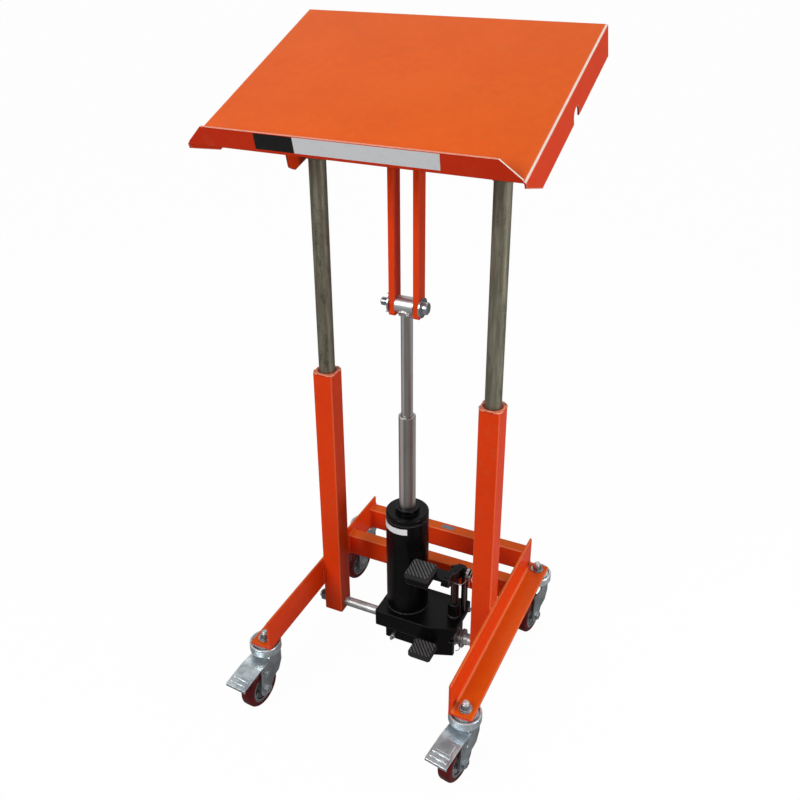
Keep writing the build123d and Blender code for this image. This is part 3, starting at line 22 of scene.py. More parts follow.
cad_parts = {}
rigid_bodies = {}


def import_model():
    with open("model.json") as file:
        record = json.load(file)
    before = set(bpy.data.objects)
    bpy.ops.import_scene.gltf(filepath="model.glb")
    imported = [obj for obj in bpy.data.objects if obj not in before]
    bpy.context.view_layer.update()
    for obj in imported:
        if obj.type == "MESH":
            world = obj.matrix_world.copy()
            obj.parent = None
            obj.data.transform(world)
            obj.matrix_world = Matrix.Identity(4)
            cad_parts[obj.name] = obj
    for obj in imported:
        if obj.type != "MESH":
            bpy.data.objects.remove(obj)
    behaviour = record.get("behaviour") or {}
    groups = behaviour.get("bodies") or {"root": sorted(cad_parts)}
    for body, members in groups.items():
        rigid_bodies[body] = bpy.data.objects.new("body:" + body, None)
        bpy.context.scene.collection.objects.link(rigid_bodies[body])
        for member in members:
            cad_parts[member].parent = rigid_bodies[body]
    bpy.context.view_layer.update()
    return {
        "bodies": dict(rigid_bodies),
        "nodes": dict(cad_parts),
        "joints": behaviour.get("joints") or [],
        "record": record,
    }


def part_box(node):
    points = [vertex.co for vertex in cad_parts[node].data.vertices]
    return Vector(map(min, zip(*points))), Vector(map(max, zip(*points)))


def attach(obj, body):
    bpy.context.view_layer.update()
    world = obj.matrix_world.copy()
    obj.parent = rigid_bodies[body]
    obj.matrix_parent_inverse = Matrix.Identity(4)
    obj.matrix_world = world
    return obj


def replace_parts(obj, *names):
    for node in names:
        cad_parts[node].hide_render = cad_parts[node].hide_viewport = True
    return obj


log = logging.getLogger("lift_table")

FRAME: dict = {}
TABLE_TILT = math.radians(22.5)
UP = Vector((0, 0, 1))
RIGHT = Vector((1, 0, 0))

RIPPLES = (1.08, 1.0, 0.86)  # thickness of a weld bead at each third of a ripple
SWAY = 0.12  # most that chance adds to it or takes away
TAPER = 0.4  # thickness of a bead's two ends

Point = tuple[float, float, float]
Colour = tuple[float, float, float]
Profile = Sequence[tuple[float, float]]
Stops = tuple[tuple[float, Colour], ...]
Rings = list[list[Vector]]
Joint = tuple[Sequence[Vector], bool]


class Body(str, Enum):
    """The rigid bodies that added pieces ride on, besides wheels and brakes."""

    CHASSIS = "chassis"
    CARRIAGE = "carriage"
    TABLE = "table"


class Slot(str, Enum):
    """The record's material slots that added pieces take their finish from."""

    ORANGE_PAINT = "orange_paint"
    ZINC_PLATE = "zinc_plate"
    BLACK_ENAMEL = "black_enamel"
    MACHINED_STEEL = "machined_steel"
    SPRING_STEEL = "spring_steel"
    WHEEL_CASTING = "wheel_casting"
    TYRE = "tyre"


class Axis(str, Enum):
    """The axes of an object."""

    X = "X"
    Y = "Y"
    Z = "Z"


class Maths(str, Enum):
    """Operations of the Math node."""

    ADD = "ADD"
    SUBTRACT = "SUBTRACT"
    MULTIPLY = "MULTIPLY"
    DIVIDE = "DIVIDE"
    ABSOLUTE = "ABSOLUTE"
    MAXIMUM = "MAXIMUM"
    MINIMUM = "MINIMUM"


class Mode(str, Enum):
    """Ways to lay one colour over another."""

    COVER = "MIX"
    MULTIPLY = "MULTIPLY"
    SOFT_LIGHT = "SOFT_LIGHT"


class Corner(str, Enum):
    """The four castors by their place."""

    FRONT_LEFT = "front_left"
    FRONT_RIGHT = "front_right"
    REAR_LEFT = "rear_left"
    REAR_RIGHT = "rear_right"

    @property
    def braked(self) -> bool:
        """Whether the castor has a brake pedal."""
        return self.value.startswith("front")


# ---------------------------------------------------------------- shader values and nodes


class Signal:
    """A number or vector that varies over a surface, usable in plain arithmetic."""

    def __init__(self, sheet: "NodeSheet", socket: bpy.types.NodeSocket) -> None:
        """Keep the socket and the node sheet that new Math nodes go on."""
        self.sheet = sheet
        self.socket = socket

    def _math(self, operation: Maths, *values: Any) -> "Signal":
        """Result of one Math node, whose inputs are numbers or signals."""
        node = self.sheet.node("ShaderNodeMath", {"operation": operation.value}, dict(enumerate(values)))
        return node.out("Value")

    def __add__(self, other: Any) -> "Signal":
        """Sum."""
        return self._math(Maths.ADD, self, other)

    __radd__ = __add__

    def __sub__(self, other: Any) -> "Signal":
        """Difference."""
        return self._math(Maths.SUBTRACT, self, other)

    def __rsub__(self, other: Any) -> "Signal":
        """Difference from a plain number."""
        return self._math(Maths.SUBTRACT, other, self)

    def __mul__(self, other: Any) -> "Signal":
        """Product."""
        return self._math(Maths.MULTIPLY, self, other)

    __rmul__ = __mul__

    def __truediv__(self, other: Any) -> "Signal":
        """Quotient."""
        return self._math(Maths.DIVIDE, self, other)

    def magnitude(self) -> "Signal":
        """The signal without its sign."""
        return self._math(Maths.ABSOLUTE, self)

    def larger(self, other: Any) -> "Signal":
        """The larger of two signals."""
        return self._math(Maths.MAXIMUM, self, other)

    def clamped(self) -> "Signal":
        """The signal kept between 0 and 1."""
        return self._math(Maths.MINIMUM, self, 1.0).larger(0.0)

    def above(self, edge: float, softness: float) -> "Signal":
        """A mask that rises from 0 at an edge to 1 where the signal is one softness past it."""
        return ((self - edge) / softness).clamped()


class Placed:
    """A node just added, giving its outputs as signals."""

    def __init__(self, sheet: "NodeSheet", node: bpy.types.Node) -> None:
        """Keep the node and the node sheet that it is on."""
        self.sheet = sheet
        self.node = node

    def out(self, name: Any) -> Signal:
        """Output socket by name or number, as a signal."""
        return Signal(self.sheet, self.node.outputs[name])


class NodeSheet:
    """The node tree of a material or a world, with one way to add any node."""

    def __init__(self, name: str, owner: Any = None) -> None:
        """Open the node tree.

        Args:
            name: Name of the new material.
            owner: World that has the tree, instead of a new material.
        """
        self.material = owner or bpy.data.materials.new(name)
        self.material.use_nodes = True
        self.tree = self.material.node_tree
        self.shader = self.tree.nodes.get("Principled BSDF")

    def node(self, kind: str, settings: Optional[dict] = None, values: Optional[dict] = None) -> Placed:
        """Add a node, set it up and feed its inputs.

        Args:
            kind: Node type.
            settings: Attributes set before the inputs; "stops" fills a colour ramp.
            values: Input sockets by name or number, each a signal, a number or a tuple.

        Returns:
            The node, ready to give its outputs.
        """
        node = self.tree.nodes.new(kind)
        for key, value in (settings or {}).items():
            if key == "stops":
                self.fill_ramp(node.color_ramp, value)
            else:
                setattr(node, key, value)
        for key, value in (values or {}).items():
            self.feed(node.inputs[key], value)
        return Placed(self, node)

    @staticmethod
    def fill_ramp(ramp: bpy.types.ColorRamp, stops: Stops) -> None:
        """Fill a colour ramp.

        Args:
            ramp: The ramp.
            stops: Positions and colours, at least two.
        """
        while len(ramp.elements) < len(stops):
            ramp.elements.new(0.5)
        for element, (position, colour) in zip(ramp.elements, stops):
            element.position = position
            element.color = (*colour, 1.0)

    def feed(self, socket: bpy.types.NodeSocket, value: Any) -> None:
        """Link or set one input socket.

        Args:
            socket: Input socket.
            value: Signal, number or tuple.
        """
        if isinstance(value, Signal):
            self.tree.links.new(value.socket, socket)
        elif socket.type == "RGBA" and len(value) == 3:
            socket.default_value = (*value, 1.0)
        else:
            socket.default_value = value

    def shade(self, **values: Any) -> None:
        """Set or link sockets of the Principled shader; underscores stand for spaces."""
        for key, value in values.items():
            self.feed(self.shader.inputs[key.replace("_", " ")], value)

    def surface(self, shader: Signal) -> None:
        """Send a shader to the tree's output."""
        output = next(node for node in self.tree.nodes if node.bl_idname.startswith("ShaderNodeOutput"))
        self.feed(output.inputs["Surface"], shader)

    def place(self) -> Signal:
        """Object coordinates, in metres."""
        return self.node("ShaderNodeTexCoord").out("Object")

    def stretched(self, scale: Point) -> Signal:
        """Object coordinates, stretched by a factor along each axis."""
        return self.node("ShaderNodeMapping", None, {"Vector": self.place(), "Scale": scale}).out("Vector")

    def noise(
        self, scale: float, detail: float = 4.0, rough: float = 0.55, at: Optional[Signal] = None
    ) -> Signal:
        """Noise between 0 and 1, at object coordinates or others, its scale in cells per metre."""
        values = {"Vector": at or self.place(), "Scale": scale, "Detail": detail, "Roughness": rough}
        return self.node("ShaderNodeTexNoise", None, values).out(0)

    def blend(self, mask: Any, first: Any, second: Any, mode: Mode = Mode.COVER) -> Signal:
        """Mix two colours by a mask, 0 for the first; the mode lays the second over the first."""
        settings = {"data_type": "RGBA", "blend_type": mode.value}
        return self.node("ShaderNodeMix", settings, {0: mask, 6: first, 7: second}).out(2)

    def ramp(self, value: Signal, stops: Stops) -> Signal:
        """Colour ramp on a signal."""
        return self.node("ShaderNodeValToRGB", {"stops": stops}, {"Fac": value}).out("Color")

    def split(self, vector: Signal, axis: Axis) -> Signal:
        """The component of a vector along an axis."""
        return self.node("ShaderNodeSeparateXYZ", None, {0: vector}).out(axis.value)

    def dot(self, first: Signal, second: Any) -> Signal:
        """Dot product of two vectors."""
        vectors = {0: first, 1: second}
        return self.node("ShaderNodeVectorMath", {"operation": "DOT_PRODUCT"}, vectors).out("Value")

    def normal(self) -> Signal:
        """The smooth normal, in the object's own axes."""
        return self.node("ShaderNodeTexCoord").out("Normal")

    def rounded(self, radius: float, samples: int) -> Signal:
        """The normal as if sharp edges were rounded to a radius in metres, from a number of rays."""
        return self.node("ShaderNodeBevel", {"samples": samples}, {"Radius": radius}).out("Normal")

    def height(self) -> Signal:
        """The Z coordinate, in metres."""
        return self.split(self.place(), Axis.Z)

    def facing(self, axis: Axis = Axis.Z) -> Signal:
        """How much a face looks along one of its object's axes, from -1 to 1."""
        return self.split(self.normal(), axis)

    def bends(self, tilt: float = 0.0) -> Signal:
        """A mask of rounded bends between flat faces that are square to each other.

        Args:
            tilt: Turn of those faces about X in radians.

        Returns:
            0 on the flats, 1 in the middle of a bend.
        """
        normal = self.normal()
        back = (0.0, math.cos(tilt), math.sin(tilt))
        rise = (0.0, -math.sin(tilt), math.cos(tilt))
        across, deep, high = (self.dot(normal, axis).magnitude() for axis in (tuple(RIGHT), back, rise))
        return ((1.0 - across.larger(deep).larger(high)) * 9.0 - 0.25).clamped()

    def edges(self, radius: float, gain: float = 3.6) -> Signal:
        """A mask of sharp edges and bends: 1 on the edge, falling to 0 at a radius in metres."""
        true = self.node("ShaderNodeNewGeometry").out("True Normal")
        return ((1.0 - self.dot(self.rounded(radius, 6), true)) * gain).clamped()

    def bump(self, height: Signal, depth: float, rounding: float = 0.0) -> None:
        """Feed the Normal socket from a height, over rounded edges where asked.

        Args:
            height: Height signal between 0 and 1.
            depth: Real depth of the relief in metres.
            rounding: Radius of the rounded look of sharp edges in metres.
        """
        values: dict[Any, Any] = {"Height": height, "Distance": depth, "Strength": 1.0}
        if rounding:
            values["Normal"] = self.rounded(rounding, 4)
        self.shade(Normal=self.node("ShaderNodeBump", None, values).out("Normal"))


# ---------------------------------------------------------------- finishes


@dataclass(frozen=True)
class Enamel:
    """Sprayed gloss enamel, lightly dusty, with painted light: upright faces redder and downward faces
    darker as painted shade, and a painted pale highlight along edges and bends.

    Args:
        name: Material name.
        top: Colour of faces that look up, linear, their painted lit tone.
        wall_shading: Colour of upright faces, painted redder as shading.
        below: Colour of faces that look down, painted darker as shade.
        highlight_tint: Colour of the painted highlight along edges and bends.
        dust: Colour of the settled dust.
        gloss: Roughness of the clean skin.
        peel: Depth of the orange-peel relief in metres.
        bend: Width of the painted highlight along edges and bends, in metres.
        highlight_strength: Strength of that painted highlight.
        tilt: Turn about X of the faces between the bends, in radians.
        coat: Weight of the clear gloss.
    """

    name: str
    top: Colour = (0.84, 0.122, 0.007)
    wall_shading: Colour = (0.90, 0.060, 0.006)
    below: Colour = (0.62, 0.030, 0.005)
    highlight_tint: Colour = (0.95, 0.34, 0.18)
    dust: Colour = (0.66, 0.30, 0.13)
    gloss: float = 0.3
    peel: float = 0.00004
    bend: float = 0.0022
    highlight_strength: float = 0.4
    tilt: float = 0.0
    coat: float = 0.05

    def make(self) -> bpy.types.Material:
        """Build the material.

        Returns:
            The material.
        """
        sheet = NodeSheet(self.name)
        cloud = sheet.noise(5.0, 3.0)
        fine = sheet.noise(60.0, 5.0, 0.6)
        peel = sheet.noise(420.0, 2.0, 0.5)
        up = sheet.facing()
        # painted light by facing: darker painted shade on faces that look down, redder painted shading on
        # upright faces, a lit tone on upward faces
        paint = sheet.blend(up.above(-0.4, 0.35), self.below, self.wall_shading)
        paint = sheet.blend(up.above(0.1, 0.5), paint, self.top)
        deep = sheet.blend(1.0, paint, (0.9, 0.8, 0.8), Mode.MULTIPLY)
        paint = sheet.blend((cloud * 0.6 + fine * 0.4).above(0.42, 0.3), paint, deep)
        dust = (sheet.noise(26.0, 6.0, 0.7) * fine).above(0.3, 0.22) * 0.16
        paint = sheet.blend(dust, paint, self.dust)
        # painted highlight: a pale line on edges and bends that do not face down
        rim = sheet.edges(self.bend).larger(sheet.bends(self.tilt)) * up.above(-0.35, 0.5)
        paint = sheet.blend(rim * (fine * 0.8 + 0.6).clamped() * self.highlight_strength, paint, self.highlight_tint)
        sheet.shade(Base_Color=paint, Roughness=self.gloss + dust * 0.6 + (cloud - 0.5) * 0.08)
        sheet.shade(Coat_Weight=self.coat, Coat_Roughness=0.06, Specular_IOR_Level=0.08)
        sheet.bump(peel * 0.7 + fine * 0.3, self.peel, 0.0016)
        return sheet.material


@dataclass(frozen=True)
class ZincPlate:
    """Bright zinc plate: streaked grey with a faint blue and straw tint, painted shade on low upright
    faces and a painted highlight on edges.

    Args:
        name: Material name.
        bright: Colour of the brightest plate.
        dull: Colour of the greyed plate.
        tint: Strength of the coloured cast.
        rough: Base roughness.
        wall_shade_strength: How much darker upright faces are painted, as painted shade.
        shade_ceiling: Height above the floor where that painted shade ends, in metres.
        shaded: Colour that upright faces are darkened towards as painted shade.
        edge_highlight: Colour of the painted highlight on edges.
        cast: Colours of the cast, from stained places to clean ones.
    """

    name: str
    bright: Colour = (0.80, 0.90, 0.95)
    dull: Colour = (0.34, 0.39, 0.43)
    tint: float = 0.35
    rough: float = 0.22
    wall_shade_strength: float = 0.5
    shade_ceiling: float = 0.118
    shaded: Colour = (0.08, 0.085, 0.09)
    edge_highlight: Colour = (0.93, 0.95, 0.97)
    cast: Stops = (
        (0.3, (0.55, 0.62, 0.72)),
        (0.45, (0.7, 0.7, 0.7)),
        (0.58, (0.74, 0.68, 0.52)),
        (0.7, (0.62, 0.56, 0.6)),
    )

    def make(self) -> bpy.types.Material:
        """Build the material.

        Returns:
            The material.
        """
        sheet = NodeSheet(self.name)
        cloud = sheet.noise(30.0, 4.0, 0.6)
        grain = sheet.noise(900.0, 3.0, 0.6)
        streak = sheet.noise(34.0, 6.0, 0.7, sheet.stretched((1.0, 1.0, 0.3)))
        stain = sheet.noise(14.0, 5.0, 0.65)
        plate = sheet.blend((cloud * 0.5 + streak * 0.5).above(0.4, 0.2), self.bright, self.dull)
        colour = sheet.blend(self.tint, plate, sheet.ramp(stain, self.cast), Mode.SOFT_LIGHT)
        # painted shade: upright faces below the given height are darkened
        wall_shading = 1.0 - sheet.facing().magnitude().above(0.1, 0.6)
        low = 1.0 - sheet.height().above(self.shade_ceiling, 0.004)
        colour = sheet.blend(wall_shading * low * self.wall_shade_strength, colour, self.shaded)
        # painted highlight on edges, which are also made less metallic so they light up white
        edge = sheet.edges(0.0018, 4.5)
        colour = sheet.blend(edge * 0.8, colour, self.edge_highlight)
        sheet.shade(Base_Color=colour, Metallic=0.8 - edge * 0.5)
        sheet.shade(Roughness=self.rough + cloud * 0.16 + grain * 0.08)
        sheet.bump(grain * 0.4 + streak * 0.6, 0.00012, 0.0006)
        return sheet.material


@dataclass(frozen=True)
class OiledTube:
    """Drawn steel tube left bare: olive-grey mill skin, oil streaks and rub marks.

    Args:
        name: Material name.
        skin: Colour of the mill skin.
        rubbed: Colour of rubbed places.
        oil: Colour of the oil.
    """

    name: str = "oiled_tube"
    skin: Colour = (0.17, 0.155, 0.105)
    rubbed: Colour = (0.33, 0.31, 0.24)
    oil: Colour = (0.045, 0.038, 0.024)

    def make(self) -> bpy.types.Material:
        """Build the material.

        Returns:
            The material.
        """
        sheet = NodeSheet(self.name)
        streak = sheet.noise(9.0, 6.0, 0.62, sheet.stretched((14.0, 14.0, 1.1)))
        blotch = sheet.noise(34.0, 7.0, 0.68, sheet.stretched((1.0, 1.0, 0.35)))
        speck = sheet.noise(260.0, 4.0, 0.7)
        colour = sheet.blend(streak.above(0.44, 0.3), self.skin, self.rubbed)
        dark = (blotch * 0.75 + speck * 0.25).above(0.53, 0.14)
        sheet.shade(Base_Color=sheet.blend(dark * 0.8, colour, self.oil), Metallic=0.55)
        sheet.shade(Roughness=0.46 - dark * 0.14 + speck * 0.1)
        sheet.bump(blotch * 0.5 + speck * 0.5, 0.00005)
        return sheet.material


@dataclass(frozen=True)
class GroundSteel:
    """Turned or ground steel with fine rings along one axis, and painted reflection bands where asked.

    Args:
        name: Material name.
        colour: Metal colour.
        rough: Roughness.
        rings: Stretch of the grain across and along the axis.
        painted_reflection: Strength of the painted reflection, bands that a round bar would mirror from
            its surroundings, multiplied into its colour.
        bands: Colours of those painted reflection bands, from the left side of the bar to the right.
    """

    name: str
    colour: Colour
    rough: float = 0.24
    rings: Point = (1.0, 1.0, 60.0)
    painted_reflection: float = 0.0
    bands: Stops = (
        (0.0, (0.3, 0.3, 0.3)),
        (0.15, (0.5, 0.52, 0.53)),
        (0.28, (1.0, 1.0, 1.0)),
        (0.42, (0.9, 0.91, 0.91)),
        (0.52, (0.36, 0.34, 0.33)),
        (0.72, (0.5, 0.45, 0.42)),
        (0.9, (0.28, 0.24, 0.22)),
        (1.0, (0.85, 0.85, 0.85)),
    )

    def make(self) -> bpy.types.Material:
        """Build the material.

        Returns:
            The material.
        """
        sheet = NodeSheet(self.name)
        grain = sheet.noise(24.0, 4.0, 0.6, sheet.stretched(self.rings))
        smear = sheet.noise(12.0, 5.0, 0.6, sheet.stretched((4.0, 4.0, 0.7)))
        worn = (self.colour[0] * 0.8, self.colour[1] * 0.78, self.colour[2] * 0.76)
        colour = sheet.blend(smear.above(0.45, 0.3), self.colour, worn)
        # painted reflection: bands by the side a face looks to, multiplied into the colour
        mirrored = sheet.ramp(sheet.facing(Axis.X) * 0.5 + 0.5, self.bands)
        sheet.shade(Base_Color=sheet.blend(self.painted_reflection, colour, mirrored, Mode.MULTIPLY), Metallic=1.0)
        sheet.shade(Roughness=self.rough + grain * 0.1 + smear * 0.06)
        sheet.bump(grain, 0.000012, 0.0005)
        return sheet.material


@dataclass(frozen=True)
class CastEnamel:
    """Black enamel over a sand casting, with soft pits and a painted highlight on sharp edges.

    Args:
        name: Material name.
        colour: Enamel colour.
        worn: Colour of dusty places.
        edge_highlight_colour: Colour of the painted highlight on sharp edges.
        pits: Depth of the casting's relief in metres.
        gloss: Roughness.
    """

    name: str
    colour: Colour = (0.0022, 0.0022, 0.0025)
    worn: Colour = (0.012, 0.012, 0.0125)
    edge_highlight_colour: Colour = (0.2, 0.2, 0.205)
    pits: float = 0.00035
    gloss: float = 0.3

    def make(self) -> bpy.types.Material:
        """Build the material.

        Returns:
            The material.
        """
        sheet = NodeSheet(self.name)
        lump = sheet.noise(95.0, 3.0, 0.5)
        sand = sheet.noise(520.0, 3.0, 0.6)
        smudge = sheet.noise(18.0, 6.0, 0.7)
        dust = (smudge * 0.7 + sand * 0.3).above(0.5, 0.25) * 0.5
        paint = sheet.blend(dust, self.colour, self.worn)
        # painted highlight along sharp edges
        sheet.shade(Base_Color=sheet.blend(sheet.edges(0.0018, 5.0) * 0.6, paint, self.edge_highlight_colour))
        sheet.shade(Roughness=self.gloss + dust * 0.35, Specular_IOR_Level=0.13)
        sheet.bump(lump * 0.6 + sand * 0.4, self.pits, 0.0014)
        return sheet.material


@dataclass(frozen=True)
class PedalRubber:
    """Grey-black moulded rubber: crests of its ribs painted lighter than the black grooves as painted
    light and shade, and chalky where scuffed.

    Args:
        name: Material name.
        tread: Height of the crests above the floor in metres.
        rib: Height of a rib in metres.
        colour: Colour between the ribs.
        crest: Colour of the crests, painted lighter as a highlight.
        chalk: Colour of scuffed crests.
    """

    name: str
    tread: float
    rib: float = 0.0016
    colour: Colour = (0.016, 0.016, 0.017)
    crest: Colour = (0.1, 0.103, 0.107)
    chalk: Colour = (0.21, 0.215, 0.22)

    def make(self) -> bpy.types.Material:
        """Build the material.

        Returns:
            The material.
        """
        sheet = NodeSheet(self.name)
        fine = sheet.noise(700.0, 3.0, 0.6)
        scuff = sheet.noise(70.0, 6.0, 0.7)
        # crests painted lighter than the grooves: painted light on the ribs; the chalk marks are scuffs
        crest = sheet.height().above(self.tread - self.rib * 0.7, self.rib * 0.4)
        mask = (scuff * 0.6 + fine * 0.4).above(0.42, 0.3)
        worn = sheet.blend(mask * 0.6, self.crest, self.chalk)
        sheet.shade(Base_Color=sheet.blend(crest, self.colour, worn), Roughness=0.6 + mask * 0.2)
        sheet.bump(fine, 0.00005, 0.0006)
        return sheet.material


@dataclass(frozen=True)
class WheelPolyurethane:
    """Dark red cast tyre, slightly glossy, greyed with dust.

    Args:
        name: Material name.
        colour: Main colour.
        deep: Colour of darker clouds.
        dust: Colour of the dust.
    """

    name: str = "wheel_polyurethane"
    colour: Colour = (0.125, 0.008, 0.009)
    deep: Colour = (0.055, 0.004, 0.005)
    dust: Colour = (0.13, 0.045, 0.042)

    def make(self) -> bpy.types.Material:
        """Build the material.

        Returns:
            The material.
        """
        sheet = NodeSheet(self.name)
        cloud = sheet.noise(40.0, 5.0, 0.6)
        fine = sheet.noise(600.0, 3.0, 0.6)
        colour = sheet.blend(cloud.above(0.4, 0.3), self.colour, self.deep)
        dust = (cloud * fine).above(0.27, 0.2) * 0.14
        sheet.shade(Base_Color=sheet.blend(dust, colour, self.dust))
        sheet.shade(Roughness=0.34 + dust + fine * 0.08, Specular_IOR_Level=0.16)
        sheet.bump(fine, 0.00003)
        return sheet.material


@dataclass(frozen=True)
class Film:
    """Stuck-on vinyl or foil.

    Args:
        name: Material name.
        colour: Main colour.
        rubbed: Colour of scuffed places.
        metal: Metallic share of a foil.
        rough: Roughness.
    """

    name: str
    colour: Colour
    rubbed: Colour
    metal: float = 0.0
    rough: float = 0.4

    def make(self) -> bpy.types.Material:
        """Build the material.

        Returns:
            The material.
        """
        sheet = NodeSheet(self.name)
        cloud = sheet.noise(22.0, 4.0, 0.6)
        scuff = sheet.noise(140.0, 5.0, 0.7)
        mask = (cloud * 0.5 + scuff * 0.5).above(0.5, 0.2) * 0.6
        sheet.shade(Base_Color=sheet.blend(mask, self.colour, self.rubbed))
        sheet.shade(Metallic=self.metal, Roughness=self.rough + mask * 0.2, Specular_IOR_Level=0.2)
        sheet.bump(cloud * 0.7 + scuff * 0.3, 0.00006)
        return sheet.material


@dataclass(frozen=True)
class WeldMetal:
    """Bare weld metal: bright ripples with blue-brown heat colour beside them.

    Args:
        name: Material name.
        bright: Colour of the ripples.
        heat: Colour of the heated places.
    """

    name: str = "weld_metal"
    bright: Colour = (0.92, 0.92, 0.9)
    heat: Colour = (0.12, 0.1, 0.09)

    def make(self) -> bpy.types.Material:
        """Build the material.

        Returns:
            The material.
        """
        sheet = NodeSheet(self.name)
        spot = sheet.noise(220.0, 5.0, 0.7)
        sheet.shade(Base_Color=sheet.blend(spot.above(0.48, 0.12), self.bright, self.heat))
        sheet.shade(Metallic=0.7, Roughness=0.2 + spot * 0.2)
        sheet.bump(spot, 0.0006)
        return sheet.material


class Palette:
    """Every finish, built once, and the CAD nodes that wear it."""

    def __init__(self) -> None:
        """Build all materials."""
        # the enamels paint light and shade by facing, and a pale highlight on edges and bends
        self.orange = Enamel("orange_enamel").make()
        # the top's enamel paints a wide white highlight along its bends
        self.table = Enamel(
            "table_enamel",
            highlight_tint=(1.0, 0.9, 0.8),
            bend=0.004,
            highlight_strength=0.92,
            tilt=TABLE_TILT,
        ).make()
        # the beads' enamel paints a pale highlight on the beads
        self.bead = Enamel(
            "bead_enamel",
            wall_shading=(0.90, 0.075, 0.015),
            highlight_tint=(1.0, 0.5, 0.36),
            gloss=0.14,
            highlight_strength=0.5,
            coat=0.7,
        ).make()
        # both black finishes paint a highlight on sharp edges
        self.black = CastEnamel("black_enamel", pits=0.00006, gloss=0.26).make()
        self.casting = CastEnamel("black_casting").make()
        # the zinc finishes paint shade on low upright faces and a highlight on edges
        self.zinc = ZincPlate("zinc_plate").make()
        self.fastener = ZincPlate(
            "fastener_zinc",
            bright=(0.8, 0.82, 0.84),
            dull=(0.26, 0.27, 0.28),
            tint=0.25,
            rough=0.16,
        ).make()
        # the nuts get painted shade on all their upright faces
        self.nut = ZincPlate(
            "nut_zinc",
            bright=(0.62, 0.7, 0.78),
            dull=(0.1, 0.11, 0.13),
            tint=0.3,
            rough=0.12,
            wall_shade_strength=0.55,
            shade_ceiling=1.0,
        ).make()
        self.galvanised = ZincPlate(
            "galvanised_pipe",
            bright=(0.66, 0.69, 0.69),
            dull=(0.32, 0.34, 0.33),
            tint=0.15,
            rough=0.34,
            wall_shade_strength=0.1,
        ).make()
        self.hub = ZincPlate(
            "wheel_centre",
            bright=(0.34, 0.35, 0.36),
            dull=(0.18, 0.18, 0.19),
            tint=0.2,
            rough=0.4,
            wall_shade_strength=0.2,
        ).make()
        self.tube = OiledTube().make()
        # the ram and the plunger carry painted reflection bands
        self.ram = GroundSteel("ground_ram", (0.93, 0.94, 0.94), painted_reflection=1.0).make()
        self.plunger = GroundSteel("blued_plunger", (0.2, 0.17, 0.15), rough=0.3, painted_reflection=1.0).make()
        self.turned = GroundSteel(
            "turned_steel", (0.62, 0.63, 0.64), rough=0.36, rings=(60.0, 1.0, 1.0)
        ).make()
        self.wire = GroundSteel("spring_wire", (0.6, 0.6, 0.6), rough=0.22).make()
        # the pads' rib crests are painted lighter than their grooves
        self.pump_rubber = PedalRubber("pump_pad_rubber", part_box("pump_pedal_pad")[1][2]).make()
        self.release_rubber = PedalRubber("release_pad_rubber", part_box("release_pedal_pad")[1][2]).make()
        self.tyre = WheelPolyurethane().make()
        self.black_film = Film("black_film", (0.008, 0.008, 0.008), (0.03, 0.03, 0.03), rough=0.35).make()
        self.foil = Film(
            "silver_foil", (0.76, 0.77, 0.78), (0.62, 0.625, 0.63), metal=0.1, rough=0.42
        ).make()
        self.white_film = Film("white_film", (0.93, 0.93, 0.92), (0.8, 0.8, 0.79), rough=0.5).make()
        self.grey_film = Film("grey_film", (0.2, 0.23, 0.27), (0.34, 0.34, 0.34), metal=0.3).make()
        self.weld = WeldMetal().make()

    def choose(self, node: str) -> bpy.types.Material:
        """The finish of one CAD node, by the first start of a name that fits.

        Args:
            node: Node name.

        Returns:
            Its material.
        """
        rules = (
            (self.table, "table_top"),
            (self.tyre, "wheel_tyre"),
            (self.hub, "wheel_hub"),
            (self.nut, "castor_stem_nuts crosshead_pin"),
            (self.zinc, "castor brake_pedal"),
            (self.tube, "lift_tube"),
            (self.ram, "ram_"),
            (self.turned, "crosshead release_valve_pin"),
            (self.plunger, "pump_plunger"),
            (self.pump_rubber, "pump_pedal_pad"),
            (self.release_rubber, "release_pedal_pad"),
            (self.casting, "pump_base plunger_housing"),
            (self.fastener, "pump_fittings axle_end mast_axle pivot_bolts clamp_stud"),
            (self.galvanised, "axle_spacers"),
            (self.wire, "spring"),
            (self.black, "lever oil_reservoir reservoir_cap gland_nut pump_lever release clamp_lever"),
        )
        for material, starts in rules:
            if node.startswith(tuple(starts.split())):
                return material
        return self.orange

    def dress(self, nodes: dict[str, bpy.types.Object]) -> None:
        """Give every CAD node its finish.

        Args:
            nodes: CAD objects by name.
        """
        for name, node in nodes.items():
            material = self.choose(name)
            if node.material_slots:
                for holder in node.material_slots:
                    holder.material = material
            else:
                node.data.materials.append(material)
            log.info("%s wears %s", name, material.name)


# ---------------------------------------------------------------- mesh helpers


